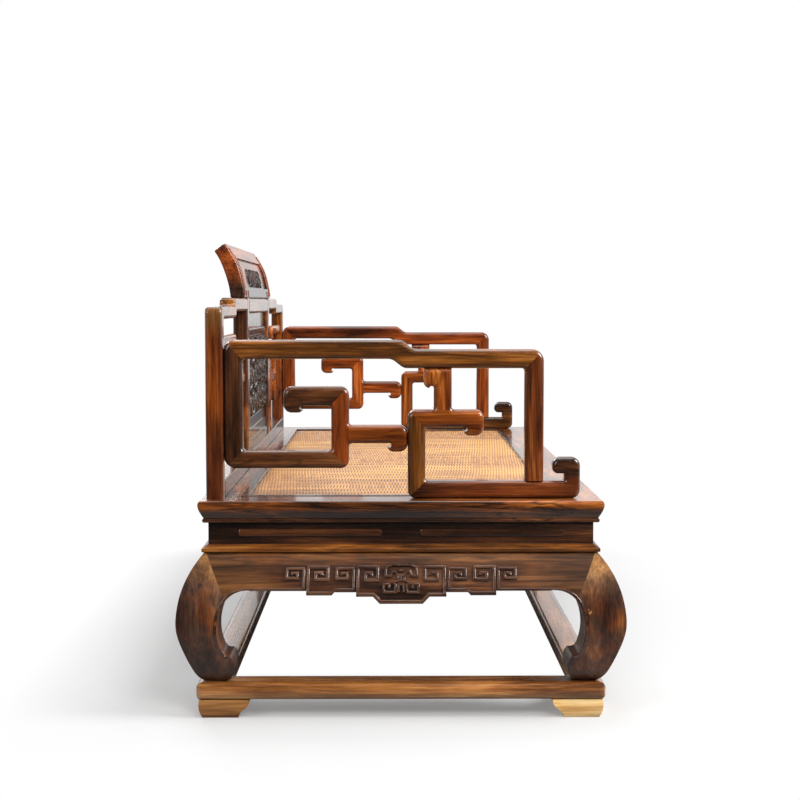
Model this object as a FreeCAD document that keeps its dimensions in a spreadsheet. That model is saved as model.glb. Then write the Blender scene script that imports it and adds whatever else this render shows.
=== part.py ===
"""A luohan daybed: a caned seat on a waisted stand with drum legs, with fretwork arms and a stepped back.

Millimetres. X runs along the bed, the front faces -Y, +Z is up, and the origin is on the floor below
the middle of the seat. Right and left are those of someone who sits on the bed and looks to the front.
"""
import FreeCAD
import Part
import math
import os
import re
from types import SimpleNamespace
from FreeCAD import Vector

SIZES = {
    # Seat frame, with a moulded edge, a bead under it and a cane mat pinned by strips
    "seat_length": 2020,
    "seat_depth": 950,
    "seat_height": 516,
    "seat_rail_high": 52,
    "seat_rail_wide": 110,
    "seat_arris": 3,
    "seat_belly": 1.5,
    "seat_belly_depth": 13,
    "seat_bead_high": 10,
    "seat_bead_back": 11,
    "seat_bead_out": 3,
    "strip_wide": 18,
    "strip_high": 6,
    "strip_proud": 1.5,
    "mat_thick": 3,
    "mat_clearance": 2,
    "brace_wide": 50,
    "brace_high": 36,
    "brace_drop": 12,
    "brace_spacing": 480,
    # Waist boards and the moulding under them
    "waist_high": 52,
    "waist_back": 21,
    "waist_thick": 25,
    "moulding_high": 18,
    "moulding_lip": 9,
    "moulding_back": 6,
    "moulding_round": 3,
    # Aprons with a stepped lower edge
    "apron_high": 83,
    "apron_back": 13,
    "apron_thick": 30,
    "apron_mitre_top": 4,
    "motif_wide": 100,
    "motif_drop": 29,
    "motif_ramp": 16,
    "block_place": 105,
    "block_pitch": 116,
    "block_drop": 13,
    "last_block_drop": 10,
    "gap_wide": 50,
    "gap_drop": 3,
    "gap_ramp": 7,
    "end_apron_blocks": 2,
    "front_apron_blocks": 4,
    # Legs
    "leg_bulge": 48,
    "leg_wide": 95,
    "leg_core": 44,
    # Base frame on feet
    "base_out": 9,
    "base_rail_wide": 74,
    "base_rail_high": 42,
    "base_round": 16,
    "base_corner": 16,
    "foot_high": 44,
    "foot_wide": 118,
    "foot_out": 2,
    # Arms: bars of fretwork. An arm is long up to its front post, and its foot reaches past that
    "arm_inset": 40,
    "arm_thick": 40,
    "arm_high": 376,
    "arm_long": 757,
    "arm_reach": 87,
    "arm_step_drop": 22,
    "arm_step_place": 434,
    "arm_step_run": 28,
    "arm_step_round": 26,
    "arm_bar": 45,
    "fret_bar": 42,
    "arm_round": 12,
    "arm_corner": 28,
    "fret_corner": 20,
    "inner_corner": 8,
    "low_rail_lift": 72,
    "riser_place": 254,
    "hook_place": 141,
    "hook_top": 266,
    "hook_bar": 46,
    "hook_drop": 16,
    "mid_top": 174,
    "mid_bar": 43,
    "front_scroll_place": 435,
    "front_scroll_long": 180,
    "front_scroll_top": 211,
    "hanger_place": 497,
    "hanger_head": 24,
    "hanger_head_drop": 47,
    "end_curl_bar": 38,
    "end_curl_top": 98,
    "end_curl_head": 28,
    "end_curl_drop": 39,
    "curl_long": 48,
    "curl_drop": 20,
    "curl_lip": 14,
    "curl_notch": 5.5,
    "curl_notch_in": 4,
    # Back: stepped crest rails between posts, a carved middle and a leaning headrest
    "back_end_inset": 28,
    "back_rear_inset": 15,
    "back_thick": 41,
    "back_post": 45,
    "back_end_high": 456,
    "back_step_high": 476,
    "back_step_place": 302,
    "back_end_rail": 32,
    "back_step_rail": 36,
    "back_mid_rail": 44,
    "back_bottom_rail": 40,
    "back_round": 9,
    "back_corner": 18,
    "back_step_corner": 12,
    "mid_post_place": 620,
    "mid_post_wide": 55,
    "headrest_long": 844,
    "headrest_high": 150,
    "headrest_lean": 85,
    "headrest_recess": 6,
    "headrest_stile": 74,
    "headrest_round": 5,
    # Pieces in the middle of the back, from the top down
    "plate_high": 44,
    "cross_rail_high": 22,
    "plinth_high": 88,
    "plinth_steps": 3,
    "plinth_step_back": 3.5,
    "panel_thick": 16,
    # Fretwork in the sides of the back
    "back_fret_thick": 26,
    "back_fret_bar": 30,
    "back_fret_round": 8,
    "back_fret_corner": 15,
    "back_curl_long": 35,
    "back_curl_drop": 15,
    "back_curl_lip": 10,
    "upper_bar_top": 383,
    "upper_bar_long": 352,
    "low_bar_top": 150,
    "low_bar_long": 240,
    "back_riser_top": 296,
    "back_hook_long": 150,
    "inner_riser_place": 455,
    "inner_riser_top": 270,
    "inner_hook_top": 340,
    "inner_hook_long": 118,
    # Joints, and how far cutting solids reach past what they cut
    "tenon_wide": 20,
    "tenon_deep": 18,
    "reach_out": 70,
    "reach_in": 140,
}

# Outer face of a leg: shares of the bulge, and of the leg's height from its foot
LEG_OUTER_SHARES = [(0.42, 0.851), (0.79, 0.714), (0.98, 0.571), (1.0, 0.44), (0.86, 0.34),
                    (0.64, 0.24), (0.38, 0.14), (0.06, 0.05), (-0.3, 0.0)]
# Inner face of a leg: shares of its width, inwards from the bulge, and of its height
LEG_TOE_SHARES = [(1.16, 0.0), (1.326, 0.055), (1.389, 0.123), (1.347, 0.195), (1.284, 0.224)]
LEG_INNER_SHARES = [(1.284, 0.224), (1.17, 0.236), (1.063, 0.299), (1.0, 0.409), (1.04, 0.545),
                    (1.2, 0.656)]
# Last points of the outer face that an apron shares with the legs
APRON_FACE_POINTS = 4
# Corner of an apron's lower edge beside a leg: shares of the leg's width and of the apron's height
APRON_SPANDREL_SHARES = [(1.44, 1.06), (1.88, 1.0)]
# Foot: shares of its width inwards, and of its height
FOOT_OUTER_SHARES = [(0.0, 1.0), (-0.01, 0.6), (0.06, 0.0)]
FOOT_INNER_SHARES = [(0.78, 0.0), (0.83, 0.32), (0.95, 0.6), (1.0, 1.0)]
# Headrest: shares of its lean backwards, and of its height
HEADREST_FRONT_SHARES = [(0.02, 0.0), (0.045, 0.147), (0.118, 0.36), (0.235, 0.593), (0.42, 0.793),
                         (0.647, 1.0)]
HEADREST_REAR_SHARES = [(1.0, 0.853), (0.847, 0.72), (0.66, 0.467), (0.54, 0.233), (0.482, 0.0)]
HEADREST_PANEL_SHARES = (0.2, 0.74)
# How far a mitre's cut runs on past the joint, as a share of the joint's diagonal
MITRE_RUN_SHARE = 0.4

SIDES = {"front": 1, "back": -1, "right": -1, "left": 1}
TOUCHING = 1e-6
ROLES = {"plan": "XY_Plane", "front": "XZ_Plane", "end": "YZ_Plane"}

doc = FreeCAD.newDocument("luohan_daybed")
sheet = doc.addObject("Spreadsheet::Sheet", "Sizes")
for row, (alias, value) in enumerate(SIZES.items(), start=1):
    sheet.set(f"A{row}", alias)
    sheet.set(f"B{row}", str(value))
    sheet.setAlias(f"B{row}", alias)
doc.recompute()
S = SimpleNamespace(**{alias: float(sheet.get(alias)) for alias in SIZES})

half_length = S.seat_length / 2
half_depth = S.seat_depth / 2
seat_bottom = S.seat_height - S.seat_rail_high
waist_bottom = seat_bottom - S.waist_high
apron_top = waist_bottom - S.moulding_high
base_top = S.foot_high + S.base_rail_high
leg_high = apron_top - base_top
back_front = half_depth - S.back_rear_inset - S.back_thick
arm_end = S.arm_long + S.arm_reach
pieces = {}


def cells(text):
    """A formula in which each word is a cell of the sheet."""
    return re.sub(r"[a-z_]+", lambda word: "Sizes." + word.group(0), text)


def keep(name, item):
    """Makes an object one of the pieces of the bed, under its own name."""
    if name in pieces:
        pieces[name].Label = pieces[name].Name + "_blank"
    item.Label = name
    pieces[name] = item
    return item


def rounded(corners):
    """A closed outline through corners (a, b) or (a, b, radius), with an arc at each radius."""
    points = [Vector(corner[0], corner[1], 0) for corner in corners]
    radii = [corner[2] if len(corner) > 2 else 0 for corner in corners]
    arcs = []
    for index, corner in enumerate(points):
        to_last = (points[index - 1] - corner).normalize()
        to_next = (points[(index + 1) % len(points)] - corner).normalize()
        half_angle = to_last.getAngle(to_next) / 2
        run = radii[index] / math.tan(half_angle)
        centre = corner + (to_last + to_next).normalize() * (radii[index] / math.sin(half_angle))
        middle = centre + (corner - centre).normalize() * radii[index] if radii[index] else corner
        arcs.append((corner + to_last * run, middle, corner + to_next * run))
    edges = []
    for index, (start, middle, end) in enumerate(arcs):
        if radii[index]:
            edges.append(Part.Arc(start, middle, end))
        following = arcs[(index + 1) % len(arcs)][0]
        if not end.isEqual(following, TOUCHING):
            edges.append(Part.LineSegment(end, following))
    return edges


def curve(points):
    """A smooth curve through the points."""
    line = Part.BSplineCurve()
    line.interpolate([Vector(a, b, 0) for a, b in points])
    return line


def straight(points):
    """Straight edges from each point to the next."""
    ends = [Vector(a, b, 0) for a, b in points]
    return [Part.LineSegment(start, end) for start, end in zip(ends, ends[1:])]


def is_square_to(face, direction):
    """Whether a face is flat and square to a direction."""
    return isinstance(face.Surface, Part.Plane) and face.normalAt(0, 0).cross(direction).Length < TOUCHING


def slab(name, view, outline, start, length, rounding=None, all_edges=False):
    """A body: an outline in a view, padded along the view's normal from start.

    The front view's normal points to the front, the end view's along +X and the plan's up. With a
    rounding, the edges of both flat faces are rounded, or all edges.
    """
    body = doc.addObject("PartDesign::Body", name)
    plane = [item for item in body.Origin.OriginFeatures if item.Role == ROLES[view]][0]
    sketch = body.newObject("Sketcher::SketchObject", name + "_outline")
    sketch.AttachmentSupport = [(plane, "")]
    sketch.MapMode = "FlatFace"
    sketch.setExpression("AttachmentOffset.Base.z", cells(start))
    sketch.addGeometry(outline, False)
    pad = body.newObject("PartDesign::Pad", name + "_pad")
    pad.Profile = sketch
    pad.setExpression("Length", cells(length))
    if rounding:
        doc.recompute()
        normal = sketch.Placement.Rotation.multVec(Vector(0, 0, 1))
        faces = [f"Face{number}" for number, face in enumerate(pad.Shape.Faces, start=1)
                 if all_edges or is_square_to(face, normal)]
        fillet = body.newObject("PartDesign::Fillet", name + "_fillet")
        fillet.Base = (pad, faces)
        fillet.setExpression("Radius", cells(rounding))
        body.Tip = fillet
    return body


def combine(kind, name, first, second):
    """The common part, the cut or the fusion of two objects."""
    item = doc.addObject("Part::" + kind, name)
    item.Base = first
    item.Tool = second
    return item


def group(name, items):
    """Separate solids that share one name."""
    item = doc.addObject("Part::Compound", name)
    item.Links = items
    return item


def block(name, corner, lengths):
    """A box with its lowest corner and its lengths given as formulas."""
    item = doc.addObject("Part::Box", name)
    for axis, formula in zip("xyz", corner):
        item.setExpression("Placement.Base." + axis, cells(formula))
    for side, formula in zip(("Length", "Width", "Height"), lengths):
        item.setExpression(side, cells(formula))
    return item


def is_long(side):
    """Whether a side of the bed runs along X."""
    return side in ("front", "back")


def outward(side, distance):
    """The coordinate that lies a distance outwards of the seat's edge on a side."""
    if is_long(side):
        return -SIDES[side] * (half_depth + distance)
    return SIDES[side] * (half_length + distance)


def along(name, side, section):
    """A slab with a section, (distance outwards, height) of edges made for the side, along a side."""
    length = "seat_length" if is_long(side) else "seat_depth"
    view = "end" if is_long(side) else "front"
    return slab(name, view, section, f"-{length} / 2 - reach_out", f"{length} + 2 * reach_out")


def across(name, side, outline):
    """A slab with an outline seen from a side, through everything near that side."""
    half = "seat_depth / 2" if is_long(side) else "seat_length / 2"
    view = "front" if is_long(side) else "end"
    start = f"{half} - reach_in" if SIDES[side] > 0 else f"-({half}) - reach_out"
    return slab(name, view, outline, start, "reach_in + reach_out")


def corner_plan(side):
    """The plan of everything on one side, with corners mitred at 45 degrees."""
    half = half_length if is_long(side) else half_depth
    far, near = half + S.reach_out, half - S.reach_in
    outer, inner = outward(side, S.reach_out), outward(side, -S.reach_in)
    plan = [(-far, outer), (far, outer), (near, inner), (-near, inner)]
    if not is_long(side):
        plan = [(b, a) for a, b in plan]
    return slab(f"{side}_plan", "plan", rounded(plan), "0", "seat_height + reach_out")


plans = {side: corner_plan(side) for side in SIDES}


def mitred(name, side, section):
    """A rail with a section along one side, mitred at both ends."""
    return combine("Common", name, along(name + "_run", side, section), plans[side])


def leg_outer(side):
    """The outer face of the legs and aprons on a side, from the top down."""
    points = [(outward(side, -S.apron_back), apron_top)]
    for bulge_share, height_share in LEG_OUTER_SHARES:
        points.append((outward(side, bulge_share * S.leg_bulge), base_top + height_share * leg_high))
    return points


def leg_inner(side, shares):
    """Points on the inner face of the legs on a side."""
    return [(outward(side, S.leg_bulge - width_share * S.leg_wide), base_top + height_share * leg_high)
            for width_share, height_share in shares]


def mitre_top(side):
    """Where the mitre between a leg and an apron meets the moulding."""
    return (outward(side, -S.apron_back - S.apron_mitre_top), apron_top)


def leg_outline(side):
    """A leg seen from the side beside the one given."""
    outer, toe = leg_outer(side), leg_inner(side, LEG_TOE_SHARES)
    inner = leg_inner(side, LEG_INNER_SHARES)
    return ([curve(outer)] + straight([outer[-1], toe[0]]) + [curve(toe), curve(inner)]
            + straight([inner[-1], mitre_top(side), outer[0]]))


def make_legs():
    """Four drum legs: the same curve in both directions, with a core up to the seat frame."""
    for face in ("front", "back"):
        for end in ("right", "left"):
            name = f"leg_{face}_{end}"
            curved = combine("Common", name + "_curved",
                             across(name + "_in_end_view", end, leg_outline(face)),
                             across(name + "_in_front_view", face, leg_outline(end)))
            reach = "(waist_back + waist_thick)"
            x_far = f"seat_length / 2 - {reach}"
            y_far = f"seat_depth / 2 - {reach}"
            apron_low = "(seat_height - seat_rail_high - waist_high - moulding_high - apron_high)"
            core = block(name + "_core",
                         (x_far + " - leg_core" if end == "left" else f"-({x_far})",
                          y_far + " - leg_core" if face == "back" else f"-({y_far})", apron_low),
                         ("leg_core", "leg_core", f"seat_height - seat_rail_high - {apron_low}"))
            keep(name, combine("Fuse", name, curved, core))


def mirrored(points):
    """Points on the other side of the middle, in the order that goes on round the outline."""
    return [(-a, b) for a, b in points[::-1]]


def apron_steps(side):
    """Half of an apron's stepped lower edge, from the motif's end outwards: a row of blocks and gaps."""
    blocks = int(S.front_apron_blocks if is_long(side) else S.end_apron_blocks)
    plain = apron_top - S.apron_high
    start, ramp, start_drop = S.motif_wide / 2, S.motif_ramp, S.motif_drop
    edge = []
    for number in range(blocks):
        is_last = number == blocks - 1
        end = S.block_place + number * S.block_pitch
        low = plain - (S.last_block_drop if is_last else S.block_drop)
        edge += [(start, plain - start_drop), (start + ramp, low), (end, low),
                 (end, plain - (0 if is_last else S.gap_drop))]
        start, ramp, start_drop = end + S.gap_wide, S.gap_ramp, S.gap_drop
    return edge


def apron_outline(side):
    """An apron seen from its side, with its stepped lower edge."""
    end = "left" if is_long(side) else "back"
    spandrel = [(outward(end, S.leg_bulge - width_share * S.leg_wide),
                 apron_top - height_share * S.apron_high)
                for width_share, height_share in APRON_SPANDREL_SHARES]
    bend = spandrel[::-1] + leg_inner(end, LEG_INNER_SHARES[-1:])
    under = apron_steps(side) + bend[:1]
    mitre_line = [bend[-1], mitre_top(end)]
    return (straight(mirrored(under) + under) + [curve(bend)]
            + straight(mitre_line + mirrored(mitre_line)) + [curve(mirrored(bend))])


def apron_section(side):
    """The section of an apron: its outer face is the one of the legs."""
    outer = leg_outer(side)
    face = curve(outer)
    last = outer[APRON_FACE_POINTS - 1]
    face.segment(face.FirstParameter, face.parameter(Vector(last[0], last[1], 0)))
    inwards = S.apron_thick * math.copysign(1, -last[0])
    inner = [(a + inwards, b) for a, b in (last, outer[0])]
    return [face] + straight([last] + inner + [outer[0]])


def make_aprons():
    """Four aprons mitred to the legs. The long ones run through behind the mitres."""
    for side in SIDES:
        name = f"apron_{side}"
        board = combine("Common", name + "_board", across(name + "_face", side, apron_outline(side)),
                        along(name + "_run", side, apron_section(side)))
        if not is_long(side):
            for neighbour in ("front", "back"):
                board = combine("Cut", f"{name}_less_{neighbour}", board, pieces[f"apron_{neighbour}"])
        keep(name, board)


def foot_outline(side):
    """A foot seen from the side beside the one given."""
    outer, inner = [[(outward(side, S.foot_out - share * S.foot_wide), height * S.foot_high)
                     for share, height in shares] for shares in (FOOT_OUTER_SHARES, FOOT_INNER_SHARES)]
    return ([curve(outer)] + straight([outer[-1], inner[0]]) + [curve(inner)]
            + straight([inner[-1], outer[0]]))


def make_base():
    """The base frame with rounded rails, and the four feet under its corners."""
    round_the_frame = (("right", "front"), ("left", "front"), ("left", "back"), ("right", "back"))
    corners = [(outward(end, S.base_out), outward(face, S.base_out), S.base_corner)
               for end, face in round_the_frame]
    corner_blank = slab("base_blank", "plan", rounded(corners), "0", "seat_height")
    for side in SIDES:
        out, into = outward(side, S.base_out), outward(side, S.base_out - S.base_rail_wide)
        section = rounded([(out, S.foot_high, S.base_round), (out, base_top, S.base_round),
                           (into, base_top, S.base_round / 2), (into, S.foot_high, S.base_round / 2)])
        rail = mitred(f"base_rail_{side}_run", side, section)
        keep(f"base_rail_{side}", combine("Common", f"base_rail_{side}", rail, corner_blank))
    feet = []
    for face in ("front", "back"):
        for end in ("right", "left"):
            name = f"foot_{face}_{end}"
            feet.append(combine("Common", name, across(name + "_in_front_view", face, foot_outline(end)),
                                across(name + "_in_end_view", end, foot_outline(face))))
    keep("feet", group("feet", feet))


def make_waist():
    """Waist boards on a moulding with a sloping top."""
    for side in SIDES:
        outer, inner = outward(side, -S.waist_back), outward(side, -S.waist_back - S.waist_thick)
        board = rounded([(outer, waist_bottom), (outer, seat_bottom), (inner, seat_bottom),
                         (inner, waist_bottom)])
        keep(f"waist_{side}", mitred(f"waist_{side}", side, board))
        lip = outward(side, -S.moulding_back)
        moulding = rounded([(lip, apron_top, S.moulding_round),
                            (lip, apron_top + S.moulding_lip, S.moulding_round),
                            (outer, waist_bottom), (inner, waist_bottom), (inner, apron_top)])
        keep(f"moulding_{side}", mitred(f"moulding_{side}", side, moulding))


def seat_section(side):
    """The section of a seat rail: a moulded edge over a bead, and a rebate for the cane."""
    edge, belly = outward(side, 0), outward(side, S.seat_belly)
    bead = outward(side, -S.seat_bead_back)
    bead_out = outward(side, S.seat_bead_out - S.seat_bead_back)
    bead_top = seat_bottom + S.seat_bead_high
    arris = outward(side, -S.seat_arris)
    rebate, inner = outward(side, S.strip_wide - S.seat_rail_wide), outward(side, -S.seat_rail_wide)
    shelf = S.seat_height + S.strip_proud - S.strip_high - S.mat_thick
    moulded = curve([(arris, S.seat_height), (edge, S.seat_height - S.seat_arris),
                     (belly, S.seat_height - S.seat_belly_depth), (bead, bead_top)])
    round_bead = Part.Arc(Vector(bead, bead_top, 0), Vector(bead_out, (bead_top + seat_bottom) / 2, 0),
                          Vector(bead, seat_bottom, 0))
    return [moulded, round_bead] + straight([(bead, seat_bottom), (inner, seat_bottom), (inner, shelf),
                                             (rebate, shelf), (rebate, S.seat_height),
                                             (arris, S.seat_height)])


def make_seat():
    """The seat frame, the cane mat in its rebate, the strips that pin it and the braces below."""
    strips = []
    for side in SIDES:
        keep(f"seat_rail_{side}", mitred(f"seat_rail_{side}", side, seat_section(side)))
        outer, inner = outward(side, S.strip_wide - S.seat_rail_wide), outward(side, -S.seat_rail_wide)
        top = S.seat_height + S.strip_proud
        strip = rounded([(outer, top - S.strip_high), (outer, top, S.strip_proud),
                         (inner, top, S.strip_proud * 2), (inner, top - S.strip_high)])
        strips.append(mitred(f"cane_strip_{side}", side, strip))
    keep("cane_strips", group("cane_strips", strips))
    edge = "(seat_rail_wide - strip_wide + mat_clearance)"
    keep("cane_mat", block("cane_mat",
                           (f"-seat_length / 2 + {edge}", f"-seat_depth / 2 + {edge}",
                            "seat_height + strip_proud - strip_high - mat_thick"),
                           (f"seat_length - 2 * {edge}", f"seat_depth - 2 * {edge}", "mat_thick")))
    braces = []
    for place in (-1, 0, 1):
        braces.append(block(f"brace_{place + 2}",
                            (f"{place} * brace_spacing - brace_wide / 2", "-seat_depth / 2 + seat_rail_wide",
                             "seat_height - brace_drop - brace_high"),
                            ("brace_wide", "seat_depth - 2 * seat_rail_wide", "brace_high")))
    keep("seat_braces", group("seat_braces", braces))


def end_of_bar(end, top, bar, way, drop=None):
    """Corners of a bar's hooked end, from its underside to its top. way is the direction it points."""
    tip, under = end - way * S.curl_long, top - bar
    low = under - (drop or S.curl_drop)
    return [(tip, under), (tip, low, S.curl_lip), (end, low, S.fret_corner), (end, top, S.fret_corner)]


def end_of_back_bar(end, top, way):
    """The same for a bar of the back's fretwork, whose hooks are smaller."""
    tip, under = end - way * S.back_curl_long, top - S.back_fret_bar
    low = under - S.back_curl_drop
    return [(tip, under), (tip, low, S.back_curl_lip), (end, low, S.back_fret_corner),
            (end, top, S.back_fret_corner)]


def notch(name, along_bar, height, start, length):
    """A small round notch where a hook leaves its bar."""
    centre = Vector(back_front - along_bar, S.seat_height + height, 0)
    return slab(name, "end", [Part.Circle(centre, Vector(0, 0, 1), S.curl_notch)], start, length)


def in_arm(corners):
    """Corners (distance from the back, height over the seat) as an outline of the end view."""
    return rounded([(back_front - distance, S.seat_height + height, *radius)
                    for distance, height, *radius in corners])


def mitre(outer, inner):
    """The two ends of a cut through a joint's outer and inner corner, run on past both."""
    run = [(b - a) * MITRE_RUN_SHARE for a, b in zip(outer, inner)]
    return (outer[0] - run[0], outer[1] - run[1]), (inner[0] + run[0], inner[1] + run[1])


def arm_loop():
    """The arm's long bar: from the front post over the top and round the back to the two scrolls."""
    high, low = S.arm_high, S.arm_high - S.arm_step_drop
    step_start, step_end = S.arm_step_place - S.arm_step_run / 2, S.arm_step_place + S.arm_step_run / 2
    under_start = step_start - S.arm_bar / 2
    under_end = under_start + S.arm_step_run
    post = S.arm_long - S.arm_bar
    riser = S.riser_place + S.fret_bar
    foot = S.fret_bar - S.arm_round
    low_rail_top = S.low_rail_lift + S.fret_bar
    over = [(0, high, S.arm_corner), (step_start, high, S.arm_step_round),
            (step_end, low, S.arm_step_round), (S.arm_long, low, S.arm_corner)]
    front_post = [(S.arm_long, foot), (post, foot), (post, low - S.arm_bar, S.inner_corner)]
    under = [(under_end, low - S.arm_bar, S.arm_step_round),
             (under_start, high - S.arm_bar, S.arm_step_round),
             (S.arm_bar, high - S.arm_bar, S.inner_corner)]
    rear = [(S.arm_bar, low_rail_top, S.inner_corner), (S.riser_place, low_rail_top, S.inner_corner),
            (S.riser_place, S.hook_top - S.hook_bar, S.inner_corner)]
    corners = over + front_post + under + rear
    corners += end_of_bar(S.hook_place, S.hook_top, S.hook_bar, -1, S.hook_drop)
    corners += [(riser, S.hook_top, S.fret_corner), (riser, S.mid_top, S.inner_corner)]
    corners += end_of_bar(S.front_scroll_place, S.mid_top, S.mid_bar, 1)[::-1]
    corners += [(riser, S.mid_top - S.mid_bar, S.inner_corner), (riser, S.low_rail_lift, S.fret_corner),
                (0, S.low_rail_lift, S.arm_corner)]
    return corners


def arm_front_loop():
    """The bar that stands on the seat: a scroll at the back, a hanger on it and a curl at the front."""
    place, end = S.front_scroll_place, S.front_scroll_place + S.front_scroll_long
    hanger_front = S.hanger_place + S.fret_bar
    head = S.hanger_place - S.hanger_head
    top = S.arm_high - S.arm_step_drop - S.arm_bar
    curl = arm_end - S.end_curl_bar
    bar_top = S.front_scroll_top
    curl_under, curl_tip = S.end_curl_top - S.end_curl_drop, curl - S.end_curl_head
    corners = [(place, 0, S.fret_corner), (place, bar_top, S.fret_corner),
               (S.hanger_place, bar_top, S.inner_corner), (S.hanger_place, top - S.hanger_head_drop),
               (head, top - S.hanger_head_drop, S.curl_lip), (head, top), (hanger_front, top),
               (hanger_front, bar_top, S.inner_corner)]
    corners += end_of_bar(end, bar_top, S.fret_bar, 1)[::-1]
    corners += [(place + S.fret_bar, bar_top - S.fret_bar, S.inner_corner),
                (place + S.fret_bar, S.fret_bar, S.inner_corner), (curl, S.fret_bar, S.inner_corner / 2),
                (curl, curl_under), (curl_tip, curl_under, S.curl_lip),
                (curl_tip, S.end_curl_top, S.fret_corner), (arm_end, S.end_curl_top, S.fret_corner),
                (arm_end, 0, S.fret_corner)]
    return corners


def arm_notches():
    """The middles of the hooks' notches (distance from the back, height) in each of an arm's two bars."""
    into = S.curl_notch_in
    aside = into * math.sqrt(2)
    lip = S.curl_long - into
    scroll_end = S.front_scroll_place + S.front_scroll_long
    head_low = S.arm_high - S.arm_step_drop - S.arm_bar - S.hanger_head_drop
    curl_low = S.end_curl_top - S.end_curl_drop
    return [[(S.hook_place + lip, S.hook_top - S.hook_bar - into),
             (S.front_scroll_place - lip, S.mid_top - S.mid_bar - into)],
            [(scroll_end - lip, S.front_scroll_top - S.fret_bar - into),
             (S.hanger_place - aside, head_low), (arm_end - S.end_curl_bar - aside, curl_low)]]


def arm_zones():
    """Where each member of an arm begins and ends: mitres at corners, straight cuts at butt joints."""
    low = S.arm_high - S.arm_step_drop
    bar, fret, past = S.arm_bar, S.fret_bar, S.inner_corner * 2
    riser = S.riser_place + fret
    far_up, far_out = S.arm_high + bar, arm_end + bar
    over_hook, behind_hook = far_up - 2 * bar, S.hook_place - bar
    scroll, scroll_top = S.front_scroll_place, S.front_scroll_top
    scroll_end, post = scroll + S.front_scroll_long, S.arm_long - bar
    rear_top = mitre((0, S.arm_high), (bar, S.arm_high - bar))
    front_top = mitre((S.arm_long, low), (S.arm_long - bar, low - bar))
    rear_foot = mitre((0, S.low_rail_lift), (bar, S.low_rail_lift + fret))
    riser_foot = mitre((riser, S.low_rail_lift), (S.riser_place, S.low_rail_lift + fret))
    scroll_foot = mitre((scroll, 0), (scroll + fret, fret))
    mid_low, mid_high = S.mid_top - S.mid_bar - S.curl_drop - past, S.mid_top + past
    curl_high = S.end_curl_top + past
    return {
        "top_rail": (0, [rear_top[0], (far_out, far_up), front_top[0], front_top[1], rear_top[1]]),
        "rear_stile": (0, [rear_top[0], rear_top[1], rear_foot[1], rear_foot[0]]),
        "low_rail": (0, [rear_foot[0], rear_foot[1], riser_foot[1], riser_foot[0]]),
        "rear_scroll": (0, [riser_foot[0], riser_foot[1], (behind_hook, S.mid_top),
                            (behind_hook, over_hook), (riser, over_hook), (riser, mid_low)]),
        "mid_scroll": (0, [(riser, mid_low), (riser, mid_high), (scroll + past, mid_high),
                           (scroll + past, mid_low)]),
        "front_post": (0, [front_top[0], front_top[1], (post - past, fret), (far_out, fret)]),
        "front_scroll": (1, [scroll_foot[0], scroll_foot[1], (scroll_end + past, S.mid_top - S.mid_bar),
                             (scroll_end + past, scroll_top), (scroll_foot[0][0], scroll_top)]),
        "hanger": (1, [(scroll, scroll_top), (scroll_end, scroll_top), (scroll_end, far_up),
                       (scroll, far_up)]),
        "bottom_rail": (1, [scroll_foot[0], scroll_foot[1], (post, scroll_foot[1][1]), (post, curl_high),
                            (far_out, curl_high), (far_out, scroll_foot[0][1])]),
    }


def make_arm(side):
    """One arm, made as two shaped bars that are cut into members at their joints."""
    outer = "seat_length / 2 - arm_inset"
    start = f"{outer} - arm_thick" if SIDES[side] > 0 else f"-({outer})"
    cut_start, cut_long = f"{start} - arm_round", "arm_thick + 2 * arm_round"
    bars = []
    for number, (corners, notches) in enumerate(zip((arm_loop(), arm_front_loop()), arm_notches())):
        bar = slab(f"arm_{side}_bar_{number}", "end", in_arm(corners), start, "arm_thick", "arm_round")
        for count, (place, height) in enumerate(notches):
            tool = notch(f"arm_{side}_notch_{number}_{count}", place, height, cut_start, cut_long)
            bar = combine("Cut", f"arm_{side}_bar_{number}_notched_{count}", bar, tool)
        bars.append(bar)
    for member, (number, zone) in arm_zones().items():
        name = f"arm_{side}_{member}"
        zone_slab = slab(name + "_zone", "end", in_arm(zone), cut_start, cut_long)
        keep(name, combine("Common", name, bars[number], zone_slab))


def in_back(side, corners):
    """Corners (distance from the back's end, height over the seat) as an outline of the front view."""
    end = half_length - S.back_end_inset
    return rounded([(SIDES[side] * (end - distance), S.seat_height + height, *radius)
                    for distance, height, *radius in corners])


def back_slab(name, outline, thick="back_thick", rounding=None):
    """A slab in the middle of the back's thickness."""
    return slab(name, "front", outline, f"-seat_depth / 2 + back_rear_inset + (back_thick - {thick}) / 2",
                thick, rounding)


def make_back_crest(side):
    """The end post and the crest rails of one side, made as one shaped bar and cut at the joints."""
    post, high, step_high = S.back_post, S.back_end_high, S.back_step_high
    under, step_under = high - S.back_end_rail, step_high - S.back_step_rail
    step, step_end = S.back_step_place, S.back_step_place + S.back_end_rail
    past = S.back_corner
    far = S.mid_post_place
    over = [(0, -past), (0, high, S.back_corner), (step, high, S.inner_corner),
            (step, step_high, S.back_step_corner), (far + past, step_high)]
    below = [(far + past, step_under), (step_end, step_under, S.inner_corner), (step_end, under),
             (post, under, S.inner_corner), (post, -past)]
    bar = back_slab(f"back_crest_{side}", in_back(side, over + below), rounding="back_round")
    corner = mitre((0, high), (post, under))
    joint = (step + step_end) / 2
    zones = {
        "end_post": [corner[0], corner[1], (corner[1][0], 0), (corner[0][0], 0)],
        "end_rail": [corner[0], corner[1], (joint, corner[1][1]), (joint, high + past), (0, high + past)],
        "step_rail": [(joint, 0), (far, 0), (far, step_high + past), (joint, step_high + past)],
    }
    return {member: combine("Common", f"back_{side}_{member}", bar,
                            back_slab(f"back_{side}_{member}_zone", in_back(side, zone)))
            for member, zone in zones.items()}


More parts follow.
